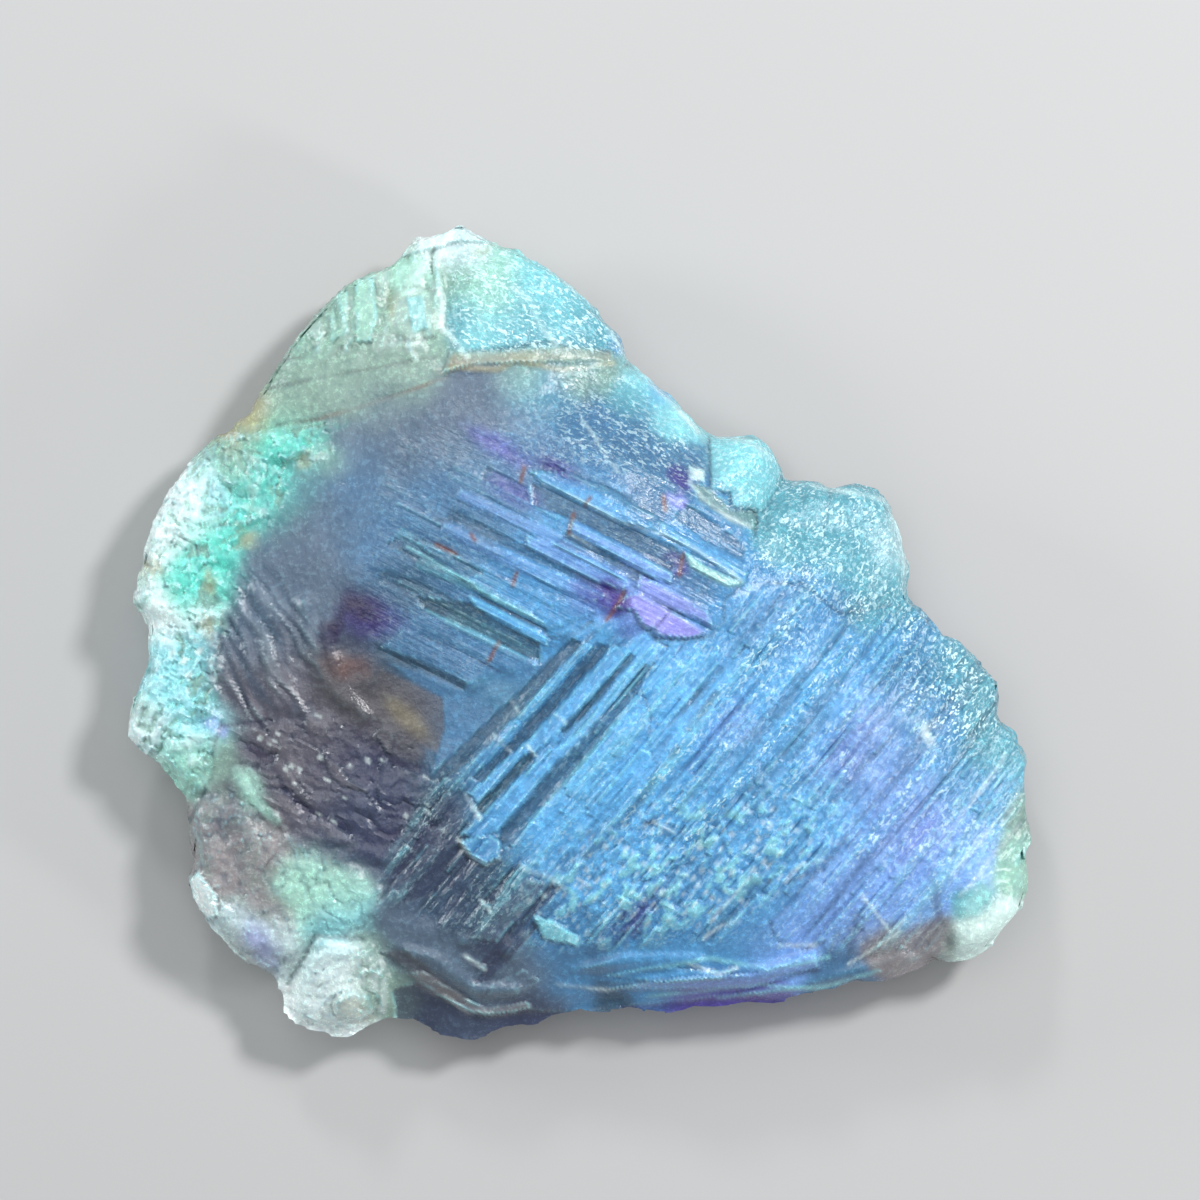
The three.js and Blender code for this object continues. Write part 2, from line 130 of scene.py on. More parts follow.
def scatter(i, j, seed):
    """Repeatable random number from 0 to 1 for each pair of whole numbers."""
    i, j = np.asarray(i).astype(np.int64), np.asarray(j).astype(np.int64)
    n = (i * 374761393 + j * 668265263 + (seed + SEED) * 2246822519) & 0xFFFFFFFF
    n = ((n ^ (n >> 13)) * 1274126177) & 0xFFFFFFFF
    return ((n ^ (n >> 16)) & 0xFFFF) / 65535.0


def noise(x, y, size, seed):
    """Smooth noise from -1 to 1 whose bumps are about size across."""
    u, v = x / size, y / size
    i, j = np.floor(u), np.floor(v)
    s, t = ease(u - i), ease(v - j)
    low = scatter(i, j, seed) * (1 - s) + scatter(i + 1, j, seed) * s
    high = scatter(i, j + 1, seed) * (1 - s) + scatter(i + 1, j + 1, seed) * s
    return 2 * (low * (1 - t) + high * t) - 1


def fractal(x, y, size, seed, octaves=4):
    return sum(noise(x, y, size / 2 ** k, seed + 11 * k) / 2 ** k for k in range(octaves)) / 1.6


def ridged(x, y, size, seed, octaves=3):
    """Noise with sharp crests, from 0 to 1."""
    total = np.zeros(np.shape(x))
    for k in range(octaves):
        total += (1 - np.abs(noise(x, y, size / 2 ** k, seed + 17 * k))) ** 2 / 2 ** k
    return total / 1.75


def cells(x, y, size, seed):
    """Broken cells about size across: the cell's value from 0 to 1, and the distance from its border."""
    u, v = x / size, y / size
    nearest = np.full(np.shape(x), np.inf)
    second = np.full(np.shape(x), np.inf)
    value = np.zeros(np.shape(x))
    for di in (-1, 0, 1):
        for dj in (-1, 0, 1):
            i, j = np.floor(u) + di, np.floor(v) + dj
            far = np.hypot(u - i - scatter(i, j, seed), v - j - scatter(i, j, seed + 1))
            closer = far < nearest
            second = np.where(closer, nearest, np.minimum(second, far))
            value = np.where(closer, scatter(i, j, seed + 2), value)
            nearest = np.where(closer, far, nearest)
    return value, second - nearest


def flecks(x, y, size, stretch, turn, share, seed):
    """Separate small flecks, longer along a direction by stretch; share of the places hold one."""
    u, v = turned(x, y, (0, 0), turn)
    u, v = u / (size * stretch), v / size
    i, j = np.floor(u), np.floor(v)
    du = u - i - 0.3 - 0.4 * scatter(i, j, seed)
    dv = v - j - 0.3 - 0.4 * scatter(i, j, seed + 1)
    radius = 0.16 + 0.14 * scatter(i, j, seed + 2)
    return ease((radius - np.hypot(du, dv)) / 0.14 + 0.5) * (scatter(i, j, seed + 3) < share)


# Crystal facets of the stepped block: colour, strength, lift, outline. The dark ones with a negative lift
# are risers, their darker blue partly painted shade.
BLOCK_FACETS = [
    ("steel", 0.5, 0.1, [(-10, 20), (-4, 17), (4, 14.6), (10, 11), (16, 8.4), (17, 12), (12, 15),
        (8, 20)]),
    ("sky", 0.35, 0.35, [(-4.8, 16), (-3.4, 14.8), (1, 12.7), (4.6, 10.9), (8, 10.1), (16.4, 5),
        (16.8, 6), (10, 9.8), (7, 12), (3, 14.2), (-1, 16)]),
    ("slate", 0.75, -0.2, [(-4.6, 15), (1, 12.4), (4.6, 10.6), (9.5, 8.6), (10.5, 7.2), (9, 6.2),
        (5.5, 8.2), (0, 11), (-4.3, 12.6)]),
    ("periwinkle", 0.8, 0.4, [(-0.6, 11.2), (2.4, 9.6), (5.6, 8), (9.4, 6), (9.2, 5), (7.6, 5.4),
        (3.4, 7.9), (-0.8, 10.2)]),
    ("slate", 0.7, -0.2, [(-1, 10.1), (3.4, 7.7), (7.4, 5.4), (6, 4.9), (3.2, 6.4), (-2, 9)]),
    ("periwinkle", 0.6, 0.35, [(-5, 9.7), (-2, 8.8), (2, 7), (5, 5.2), (4.6, 4.2), (1.4, 5.3),
        (-2.6, 7.2), (-5, 8.6)]),
    ("lavender", 0.6, 0.35, [(6.2, 5.7), (8.4, 4.8), (12.8, 2.2), (13.4, 0.6), (11.4, 1.6), (8.6, 2.6),
        (5.8, 4.4)]),
    ("mint", 0.7, 0.3, [(10.6, 8), (13, 6.4), (16.6, 5), (14.8, 4.6), (11, 6.6)]),
    ("lavender", 1.0, 0.5, [(3.8, 2.5), (4.8, 3.9), (6, 4.1), (9, 2.4), (12.8, 0.2), (11, -0.5),
        (8, -0.2), (7.3, 0.6), (6.5, 0.5), (5.5, 2.3)]),
    ("azure", 0.35, 0.2, [(-16, 9), (-11, 7.4), (-6, 5), (-1, 3.4), (2, 2.2), (-2.8, 0.4), (-9, 3.6),
        (-12, 5.8)]),
    ("olive", 0.7, -0.25, [(-12.2, 3.2), (-10.6, 3), (-9, 2), (-3.8, -0.8), (-3.7, -2.8), (-5.4, -2),
        (-11, 0.6), (-15, 2.4), (-16, 3.6)]),
    ("sky", 0.95, 0.3, [(-10.8, 3.7), (-9.4, 3.2), (-5.2, 1), (-2.8, -0.4), (-3, -1.2), (-5.8, 0.2),
        (-10, 2.6)]),
    ("steel", 0.7, 0.15, [(-15.4, 2), (-11, 0.4), (-5.4, -2.2), (-4, -3.1), (-7.4, -4), (-11, -5),
        (-19.6, -1.4)]),
    ("slate", 0.8, -0.15, [(-19.8, -1.3), (-15.2, -2.9), (-11, -4.9), (-11.3, -5.6), (-15.4, -3.6),
        (-19.6, -2)]),
    ("steel", 0.7, 0.1, [(-18.6, -2.9), (-15.4, -3.9), (-11.6, -5.6), (-13.2, -6.1), (-16.4, -4.6)]),
    ("steel", 0.75, 0.1, [(-13.3, -6.2), (-11, -5.5), (-7.4, -4), (-3.6, -2.9), (0, -1), (2.6, 1.2),
        (0, -2.4), (-5, -6.6), (-9, -10.4), (-14.6, -14.8), (-14, -12), (-13.1, -9.5)]),
    ("periwinkle", 0.4, 0.2, [(-12, 13.4), (-4.6, 9.9), (4.4, 5.3), (5, 5.8), (-3.6, 10.8),
        (-11.6, 14.3)]),
    ("slate", 0.5, -0.15, [(-12.4, 12.4), (-5, 8.5), (3.6, 4.3), (3, 3.8), (-5.4, 7.7), (-13, 11.4)]),
    ("periwinkle", 0.35, 0.2, [(-13, 11), (-5.4, 7.5), (2.6, 3.8), (1.8, 3), (-6, 6.2), (-13.6, 10.2)]),
    ("slate", 0.5, -0.2, [(-17.5, 9.6), (-11.4, 7.2), (-9, 6), (-11, 5.6), (-16.6, 7.6), (-19, 8.8)]),
    ("teal", 0.5, 0.2, [(-16, 6.6), (-10.4, 4.2), (-4, 1.2), (-4.6, 2.2), (-10, 5.2), (-15.6, 7.4)]),
    ("slate", 0.5, -0.15, [(-20, 5.2), (-15, 3.6), (-12, 3.3), (-15, 4.8), (-19, 6.2)]),
    ("slate", 0.45, -0.15, [(-9, 16.6), (-5, 14.4), (-4.6, 12.8), (-9.6, 15.2)]),
    ("slate", 0.4, -0.15, [(-3.4, 17), (3, 14.6), (8.6, 11.2), (8, 10.4), (3, 13.6), (-3.6, 16.2)]),
    ("slate", 0.5, -0.2, [(10.4, 13), (14.6, 10.2), (16.6, 8.6), (16.4, 7), (12.6, 9), (9.6, 11.4)]),
    ("sage", 0.7, -0.3, [(12, 13.2), (15, 11.2), (17.6, 10.2), (18, 11), (17.6, 12.2), (15.2, 12.2),
        (13, 14.4), (11.4, 14.8)]),
    # painted highlight along the block's upper right edge
    ("white", 0.8, 0.3, [(11, 16.6), (12.6, 16.2), (12.4, 15.2), (11, 15.4)]),
]

# Dark and pale bars that run from the corner of the steps down to the lower left; the dark bars are risers,
# their darker blue partly painted shade.
BAR_FACETS = [
    ("slate", 0.75, -0.2, [(-0.6, -0.4), (0.4, -0.9), (-5.4, -7.2), (-8.4, -10.6), (-11.6, -13.4),
        (-13.6, -14.8), (-15, -14.6), (-12, -11.6), (-8, -7.8), (-6.6, -6.4)]),
    ("sky", 0.5, 0.25, [(0.6, -0.8), (1.4, -1.2), (-4.9, -8), (-7, -10.8), (-8, -10.4), (-5.4, -7.4)]),
    ("slate", 0.7, -0.25, [(1.8, -0.9), (3.2, -1.3), (-3.4, -8.6), (-6.2, -11.6), (-9.6, -14.8),
        (-10.6, -14.2), (-6.8, -10.8), (-4.4, -8)]),
    ("sky", 0.55, 0.35, [(3.6, -1.2), (5.4, -1.6), (-1, -9), (-4.6, -12), (-9.8, -16.8),
        (-10.8, -15.8), (-6, -11.4), (-3, -8.6)]),
    ("olive", 0.7, -0.2, [(5.2, -2), (5.8, -2.2), (0.6, -8.2), (-1.4, -9.9), (-1.8, -9.4)]),
    ("olive", 0.8, -0.3, [(-4.4, -11.6), (-5.4, -12), (-10.2, -17.2), (-9.4, -17.8), (-4.4, -12.7)]),
    ("sky", 0.65, 0.3, [(8, -0.6), (6.6, -2.6), (2, -7.4), (-1, -10.6), (-3, -11.4), (-9.8, -18.4),
        (-11.6, -19.8), (-9.6, -20.2), (-7, -19), (-1.8, -12.6), (0.6, -10.6), (5, -5.8), (7.4, -3)]),
    ("slate", 0.65, -0.25, [(7.6, -2.8), (6.6, -3), (3, -7.2), (0.3, -10.2), (-2.4, -13), (-5, -16),
        (-7.6, -19.2), (-7.8, -20.6), (-6.6, -21.2), (-4.8, -18.6), (-0.4, -14), (1.6, -11.4),
        (5.8, -5.8)]),
    ("violet", 0.22, -0.1, [(16.6, -6.6), (15.6, -8.4), (11.6, -14), (10.4, -13.4), (14.4, -8)]),
    ("deep", 0.6, -0.15, [(-11.6, -20.6), (-13, -21.8), (-16, -25), (-17.4, -26.8), (-12, -25),
        (-10, -22.6)]),
    ("deep", 0.8, -0.3, [(-5.8, -22.8), (-6.6, -23.2), (-9.4, -26.6), (-8.4, -26.8)]),
    ("grey_violet", 0.7, 0.25, [(-5, -24), (-2.8, -24.8), (-8, -30.6), (-10.6, -30.2), (-6.4, -25.6)]),
    ("deep", 0.8, -0.2, [(-2.8, -24.8), (-1.4, -25), (-4.4, -28), (-8.4, -33), (-9.8, -32.8),
        (-6, -28.4)]),
    ("deep", 0.7, -0.2, [(-4.6, -28.4), (-3.8, -29), (-9, -34.8), (-10.6, -34.8)]),
    ("azure", 0.9, 0.5, [(-11.6, -20.6), (-10.6, -22), (-9.2, -22.8), (-7.8, -22.2), (-7.6, -20.6),
        (-8.4, -19.9), (-10.2, -20)]),
    ("aqua", 0.8, 0.4, [(-4.4, -28), (-2.6, -28.4), (-1, -29.4), (0, -30), (0, -31), (-3.4, -30.2)]),
]

# Facets of the rim: cap, frosted lobe, lower left and bottom edge. The white ones on the thin rim are
# painted glow, standing in for light shining through it.
RIM_FACETS = [
    ("aqua", 0.5, 0.35, [(13.2, 19.7), (13.2, 14.4), (15.2, 13.9), (15.3, 12.6), (18.2, 12.2),
        (20.3, 15.2), (20.2, 17.2), (18.8, 19.4)]),
    ("mint", 0.55, 0.3, [(-22.2, 35), (-20.4, 35.6), (-20, 31.6), (-20.6, 29), (-22, 29)]),
    ("mint", 0.4, 0.25, [(-24.6, 33.6), (-23, 34.6), (-22.8, 30), (-24.6, 29)]),
    ("aqua", 0.5, 0.2, [(-17, 33.4), (-15.4, 33.6), (-15, 30.4), (-16.4, 29.8)]),
    ("white", 0.5, 0.4, [(-18, 37.6), (-16.5, 39.6), (-13.6, 39.8), (-11.8, 41), (-8.4, 39), (-12, 39),
        (-14.6, 38.2)]),
    ("ochre", 0.5, 0.3, [(-13.4, 25.8), (-10.4, 26.7), (-3, 26.9), (3.4, 27.1), (3.6, 28.2),
        (-2, 28.6), (-7, 28.1), (-12.6, 28)]),
    ("white", 1.0, 0.5, [(-38.9, -24.4), (-37.8, -23.8), (-36, -26), (-36, -28), (-36.8, -28.6),
        (-38.4, -27.2)]),
    ("white", 0.8, 0.3, [(-37.2, -28.9), (-35.6, -29.8), (-34.4, -31.4), (-33, -33), (-35.4, -31.4)]),
    ("white", 0.9, 0.2, [(-30.4, -37), (-28.6, -38), (-26.6, -38.2), (-25, -39.2), (-22, -40.2),
        (-24, -42), (-31, -41)]),
    ("umber", 0.7, 0.2, [(-19.8, -31.6), (-17, -31.4), (-13.4, -34.4), (-9.8, -37.2), (-12.4, -36.4),
        (-16, -34.2)]),
    ("deep", 0.75, -0.3, [(-18.4, -35.6), (-16, -34.8), (-12.6, -37), (-9.6, -38.2), (-4.4, -37.8),
        (1, -38), (1, -41), (-11, -43), (-18, -40)]),
    ("taupe", 0.5, 0.25, [(-17, -33.8), (-15.4, -33.6), (-12, -35.8), (-9.4, -37.4), (-5, -36.8),
        (-4.4, -37.5), (-9.6, -38.2), (-12.6, -37)]),
    ("grey_violet", 0.6, 0.2, [(-8.6, -35), (-5.4, -33.4), (-3.8, -34.6), (-6.4, -36.2), (-9.4, -36.6)]),
    ("umber", 0.75, 0.0, [(-19.6, -3.4), (-16.4, -4.9), (-13.3, -6.4), (-13.2, -9.4), (-14, -11.8),
        (-16.4, -10.4), (-20.4, -6.8)]),
    ("azure", 0.6, 0.3, [(8, -33), (13, -33.6), (16, -33.2), (14, -34.4), (8, -34.8), (3, -34)]),
    ("periwinkle", 0.6, 0.35, [(3.4, -35.4), (10.2, -34.2), (17.4, -33.8), (23.6, -31.6), (24, -33.2),
        (17, -35.4)]),
    ("purple", 0.5, -0.2, [(4, -37.4), (12, -36.6), (16, -35.8), (20, -36.6), (21.6, -38), (9, -39)]),
]

FACETS = BLOCK_FACETS + BAR_FACETS + RIM_FACETS

# Dark cracks and edges: colour, width, points.
BLOCK_CRACKS = [
    ("night", 0.35, [(-16, 9.4), (-13.8, 8.8), (-11.7, 7.7), (-10, 6.4), (-6, 5), (-1.6, 3.6)]),
    ("olive", 0.4, [(-9.6, 3.7), (-5.8, 1.7), (-3.4, 0.6), (-2.8, -0.4), (-1.6, -0.5), (1.4, 1.2)]),
    ("slate", 0.3, [(-10.6, 9.7), (-8, 8.6)]),
    ("slate", 0.3, [(-14, 11.2), (-11.4, 11.2), (-9.6, 10.6)]),
    ("slate", 0.35, [(-17.6, 8.5), (-16, 7.2), (-12, 5.8), (-10.2, 4.6), (-9, 3.6)]),
    ("night", 0.22, [(-15.4, -0.2), (-11, -2), (-7.4, -4)]),
    ("night", 0.25, [(-7.6, -0.9), (-6, -1.6), (-4.6, -2.4)]),
    ("slate", 0.45, [(5.4, 4.7), (9, 2.5), (13.2, 0.6)]),
    ("night", 0.25, [(11.2, 8.2), (13.6, 6.8)]),
    ("olive", 0.35, [(16, 4.6), (14.4, 3.4), (14.4, 1.2), (13, -0.2), (9.6, -0.6), (7.6, -0.4)]),
    ("olive", 0.35, [(6.4, 0.8), (7.6, -0.4), (8.8, -1.3)]),
    ("night", 0.22, [(9, 2.4), (8.6, 1.6), (7.6, 0.5)]),
]
FIELD_CRACKS = [
    ("slate", 0.5, [(14, -3.4), (11.4, -6.4), (9.2, -8.8)]),
    ("slate", 0.7, [(13.6, -5.8), (10.8, -9.4)]),
    ("slate", 0.7, [(9.8, -11.4), (7.6, -13.8), (6.6, -15.8), (5.4, -17.2), (3.2, -20), (0.6, -22)]),
    ("slate", 0.25, [(6.2, -5.4), (7.2, -8), (6.9, -10.6), (8, -13.6)]),
    ("azure", 0.6, [(31, 1.6), (26, -5)]),
    ("steel", 0.5, [(32, -2.4), (25.6, -9.4)]),
    ("steel", 0.4, [(32, -9.4), (27.4, -13.6)]),
    ("steel", 0.4, [(22.6, -21), (17.4, -26), (12.6, -30)]),
    ("steel", 0.4, [(36, -16), (31.4, -21.6), (28.2, -25)]),
    ("steel", 0.4, [(42.4, -14.6), (37, -22)]),
    ("night", 0.3, [(20, -25), (22.4, -23.8), (24.4, -23.4)]),
    ("slate", 0.3, [(19, -28.4), (19.6, -30.4), (22.6, -31.4), (24.6, -30.6)]),
    ("slate", 0.4, [(25.2, 14.4), (24.4, 10)]),
    ("slate", 0.4, [(17, 5), (22, 5), (26, 2), (31, 2.8)]),
    ("slate", 0.3, [(13.1, 19.4), (13.2, 14.4), (15, 13.8), (15.1, 12.6), (17.4, 12.2), (17.9, 11.4),
        (17.5, 9.8)]),
]
CAP_CRACKS = [
    ("sage", 0.5, [(-14.4, 38.2), (-14.4, 34), (-14.3, 30.6)]),
    ("sage", 0.5, [(-22.6, 34.8), (-22.8, 28.8)]),
    ("sage", 0.35, [(-25.2, 34.5), (-25.4, 31), (-25.2, 29.8)]),
    ("umber", 0.3, [(-25.6, 26.6), (-25, 27.2), (-23.8, 28), (-23, 29)]),
    ("umber", 0.3, [(-20, 29.6), (-17.4, 29.6), (-17, 29)]),
    ("umber", 0.3, [(-29.6, 27.2), (-27.4, 27.6), (-26, 28.8), (-25, 30)]),
    ("umber", 0.25, [(-17.4, 34.5), (-16, 34.6), (-14.2, 34.1)]),
    ("umber", 0.25, [(-31, 24.4), (-26, 25.4), (-20, 26.4), (-14, 27.4)]),
    ("umber", 0.25, [(-24, 28.4), (-19, 29), (-14, 29.4)]),
    ("umber", 0.25, [(-11, 28), (-7, 28.2), (-3.4, 29), (0, 28.2), (3.6, 28)]),
    ("rust", 0.3, [(-30, 20.8), (-26, 21.3), (-22.6, 22.2), (-20, 23), (-17.6, 23.8), (-13, 25.4)]),
]
CRUST_CRACKS = [
    ("sage", 0.4, [(-33, 20), (-33.8, 17.6), (-32.6, 15), (-32.4, 13.2), (-32.8, 11)]),
    ("sage", 0.3, [(-31.6, 21), (-32, 19.4)]),
    ("sage", 0.3, [(-29.8, 15.8), (-28.6, 17.4), (-26.4, 17), (-24.6, 18.4)]),
    ("sage", 0.35, [(-41.6, 10.8), (-38.6, 9), (-37, 7.9)]),
    ("olive", 0.45, [(-35.3, 2), (-35.6, -0.8), (-35.9, -4.6), (-35.3, -6)]),
    ("olive", 0.4, [(-35.4, -8.8), (-36.2, -11), (-36.4, -14), (-37.8, -17), (-38.8, -18.8)]),
]
FOOT_CRACKS = [
    ("night", 0.35, [(-35.4, -9.2), (-31.4, -8.8), (-27.4, -8.2)]),
    ("night", 0.5, [(-33.4, -13), (-30, -13.6), (-28.6, -16.4), (-26, -17.8), (-24, -19)]),
    ("olive", 0.45, [(-32.4, -14.6), (-31.4, -17), (-30, -19), (-28.8, -20.6), (-26.2, -20.6),
        (-24.4, -21.4), (-22, -20.8)]),
    ("umber", 0.3, [(-31, -23.2), (-29.6, -21.2), (-28.8, -20.8)]),
    ("olive", 0.45, [(-29, -35), (-27.2, -32), (-26.2, -30), (-21.4, -30.4)]),
]
CRACKS = BLOCK_CRACKS + FIELD_CRACKS + CAP_CRACKS + CRUST_CRACKS + FOOT_CRACKS

# Thin raised edges: colour, width, points. Most are painted pale as highlights where they catch the light;
# a few are dark lines.
EDGES = [
    ("white", 0.22, [(-3.4, 14.8), (0, 13.3), (4, 11.1), (7.8, 9.9)]),
    ("white", 0.3, [(8, 10), (11.6, 8.4), (16.2, 5.2)]),
    ("white", 0.35, [(11, 15), (12.4, 13.4), (14.4, 11.8), (17, 10.6)]),
    ("white", 0.2, [(-1, 10), (2, 8.3)]),
    ("white", 0.2, [(0.4, 21.2), (1.6, 19.6), (2.8, 17.4), (4, 16)]),
    ("aqua", 0.25, [(-16.8, 8.6), (-14, 7), (-10.6, 5), (-9, 3.9), (-5.6, 2.2), (-3.4, 1.1)]),
    ("white", 0.35, [(-8.2, -10), (-6.6, -11.8)]),
    ("white", 0.3, [(-6.6, -6.6), (-5.8, -7.8)]),
    ("white", 0.3, [(-2.4, -7.8), (-1.2, -8.8)]),
    ("white", 0.3, [(-5, -11), (-4.2, -12)]),
    ("white", 0.5, [(-11, -16), (-9.7, -18.2)]),
    ("white", 0.4, [(-11.8, -20.4), (-10.6, -22), (-9, -22.8), (-7.8, -22.3)]),
    ("white", 0.45, [(-5.6, -23), (-4.6, -23.6), (-2.8, -24), (-1.4, -25.2)]),
    ("white", 0.3, [(0, -24.2), (1.2, -25)]),
    ("white", 0.35, [(-11.2, -32), (-9.2, -33.4)]),
    ("white", 0.3, [(-9.6, -26.4), (-8.6, -27.6)]),
    ("aqua", 0.25, [(7.2, -1.2), (2.4, -7), (-1.6, -11.4)]),
    ("aqua", 0.22, [(5.8, -6.2), (0.4, -12.6), (-4.6, -18.6)]),
    ("white", 0.3, [(7.6, -18.6), (9.6, -19.6)]),
    ("white", 0.25, [(17, -24), (13, -28.5)]),
    ("white", 0.25, [(16, -28.4), (14, -29), (12.4, -30.2)]),
    ("white", 0.35, [(42.6, -12), (36, -21)]),
    ("white", 0.35, [(44, -16), (37, -24)]),
    ("white", 0.35, [(44, -19), (38, -26)]),
    ("white", 0.35, [(28.2, -26), (29, -27), (31, -29.6), (32.4, -28.4)]),
    ("white", 0.3, [(20.4, -24.4), (22, -22.8), (24.4, -22.4)]),
    ("white", 0.4, [(20, -31), (23.6, -31)]),
    ("white", 0.3, [(27, -33), (32, -29.6)]),
    ("white", 0.3, [(11, -32.8), (14, -33.8), (15.8, -33.2)]),
    ("aqua", 0.35, [(14, -36.4), (20, -35.6), (27, -35)]),
    ("white", 0.5, [(-6.4, 34.4), (-4.4, 33), (-4.4, 32), (-3.8, 30.6), (-2.8, 29.4), (-2.2, 28.6)]),
    ("white", 0.4, [(-7, 37.6), (-7, 36)]),
    ("white", 0.5, [(-14, 38), (-14, 36), (-13.5, 33.5), (-13.5, 30.2), (-12.6, 29.6), (-11, 27.4)]),
    ("white", 0.35, [(-17, 29), (-16, 27.2)]),
    ("ochre", 0.6, [(-14, 26), (-11.6, 26.4), (-8, 26.2), (-6, 27), (-1.6, 26.2), (3.4, 26.9)]),
    ("white", 0.7, [(-42, -3), (-44.8, -10)]),
    ("mint", 1.0, [(-34, -13.6), (-32.4, -16.2), (-30, -18.6)]),
    ("white", 0.4, [(-35, -30.4), (-32, -33.4)]),
    ("taupe", 0.6, [(-16, -35), (-13, -36.4), (-11, -37.8), (-7.6, -38), (-5, -37.2)]),
    # painted backlit rim light along the upper right outline
    ("white", 0.5, [(-4.6, 38), (2, 32.4), (4.2, 28.6), (8, 24.4), (12, 20.2)]),
    ("white", 0.5, [(14, 19.8), (16.4, 19.4), (19.8, 17.2), (22, 15), (26.6, 14.2), (31, 13.2),
        (32.6, 8.6), (32.6, 4.2)]),
    ("aqua", 0.4, [(4, -33.8), (9, -33), (13, -32.2), (19, -33.4), (25, -32.2)]),
    ("aqua", 0.35, [(7, -36.2), (13, -35.6), (18, -35), (24, -35.6), (30, -33.6)]),
    ("white", 0.3, [(-2, -35), (3, -35.6), (7, -34.8)]),
    ("night", 0.35, [(2, -34.8), (10, -34.4), (17, -34.2), (24, -33.6)]),
    ("white", 0.25, [(-13.2, -36.2), (-11, -37.8), (-8.6, -37.9)]),
]

# Short rust-red marks that cross the steps.
RUST_MARKS = [
    [(-0.4, 11.8), (-0.8, 9.9)], [(1.2, 13.4), (0.8, 12.7)], [(8.4, 13.6), (8.6, 12.2)],
    [(10.4, 7.8), (10, 5.8)], [(-6, 6), (-6.4, 4.8)], [(-7.8, -0.9), (-8.8, -2.6)],
    [(-13.9, 8.8), (-12, 7.9)], [(-5.3, 16.4), (-5.6, 15)], [(4.6, 4.2), (3.6, 2.4), (2.8, 1.4)],
    [(-10.5, 9.8), (-10.1, 9.2)],
]

# Soft spots of colour: colour, strength, middle, reach, direction.
SPOTS = [
    ("violet", 0.7, (-8, 18.6), (4, 1.3), -32), ("purple", 0.7, (-2, 16.4), (3.6, 1.1), -28),
    ("violet", 0.55, (-6, 13.8), (3.4, 1.6), -30), ("purple", 0.8, (10.2, 15.2), (1.1, 1.6), 0),
    ("ochre", 0.35, (-22.6, -37.4), (2, 1.6), 0), ("lavender", 0.8, (9.5, 13.5), (1, 0.8), 0),
    ("purple", 0.7, (9.8, 6.8), (1.6, 1.4), 0), ("violet", 0.6, (2, 3.6), (3, 2.6), 0),
    ("purple", 0.95, (3.5, 3.4), (1.7, 1.8), 0), ("violet", 0.5, (5, 1), (2, 1.6), 40),
    ("purple", 0.6, (-20.6, 1.6), (4, 2.2), -12), ("night", 0.95, (-21.6, 2.4), (3, 1.7), -20),
    ("night", 1.0, (-24.2, 0.4), (1.2, 2.8), -12), ("rust", 0.4, (-22.6, -3.4), (2.6, 1.6), -10),
    ("ochre", 0.3, (-16.6, -8.6), (3.4, 1.2), -38), ("night", 0.5, (-18.4, -20), (3.4, 1.4), 0),
    ("night", 0.5, (-14, -16.6), (3, 2), -20), ("purple", 0.7, (5.8, -27.8), (3.6, 1.1), 46),
    ("night", 0.9, (7.1, -18.4), (0.8, 0.7), 0), ("lavender", 0.45, (-31.5, -31), (3, 1.8), -50),
    ("lavender", 0.6, (-36.4, -8.8), (1.2, 1), 0), ("night", 0.5, (-33.6, -6.2), (1, 0.9), 0),
    ("ochre", 0.6, (-42.6, 6.4), (1.7, 1.5), 0), ("ochre", 0.5, (-27.1, 17.2), (0.8, 1.6), -4),
    ("ochre", 0.6, (-33, 9.6), (1.4, 0.9), 20), ("ochre", 0.6, (-36.8, 5.2), (0.9, 1.2), 0),
    ("ochre", 0.5, (-37, 1), (0.9, 1.4), 0), ("ochre", 0.35, (-18.4, 32.4), (0.8, 2), 10),
    ("ochre", 0.4, (-9.8, 38.4), (1.8, 0.7), -8), ("violet", 0.3, (26, -12), (5, 2.6), 46),
    ("lavender", 0.4, (34, -20), (4, 2.4), 46), ("umber", 0.45, (27, -30), (3, 0.8), 42),
    ("umber", 0.5, (35.6, -27), (0.7, 3.4), 12), ("periwinkle", 0.7, (21.6, -29.6), (2.3, 1.6), -20),
    ("white", 0.7, (34.4, -9.6), (2, 0.8), -60),
]

# Zones of the face, each with a surface of its own.
CAP = [(-34.6, 20), (-31.5, 20.6), (-27, 21.2), (-22.6, 22), (-17, 24), (-13, 25.6), (-8, 26),
    (3.6, 26.6), (8, 28), (2, 36), (-8, 42), (-14, 44), (-24, 40), (-34, 28), (-40, 20)]
CRUST = [(-48, -12), (-47, 8), (-42, 17), (-36, 21), (-33, 20.4), (-27, 21), (-22.4, 20.8),
    (-24.4, 18.8), (-26.2, 17.4), (-27.2, 15), (-28, 13.8), (-30.5, 12), (-31, 10.6), (-33.4, 10.2),
    (-33.6, 8.8), (-35.4, 7.6), (-36.6, 5.6), (-35.4, 3), (-35.3, 0.4), (-35.7, -1), (-35.3, -4),
    (-35.6, -9), (-36.2, -11), (-36.4, -14), (-37.8, -17), (-44, -14)]
BLOCK = [(-18, 20), (-10, 21), (-2, 19), (8, 20), (13, 19), (13, 15), (18, 11), (17, 6), (14.6, 2),
    (9, -0.6), (6, 0.6), (3.6, 2.4), (-3, -1.6), (-12, -5.4), (-21, -0.6), (-21, 8), (-20, 14)]
FIELD = [(3, 1.6), (6.6, 0.2), (13, -0.4), (15, 3.6), (20, 5), (34, 4), (48, -6), (48, -22), (38, -24),
    (36, -32), (20, -31), (8, -31), (0, -31), (-10, -31), (-20, -26), (-15, -15), (-8, -9), (-2, -3)]
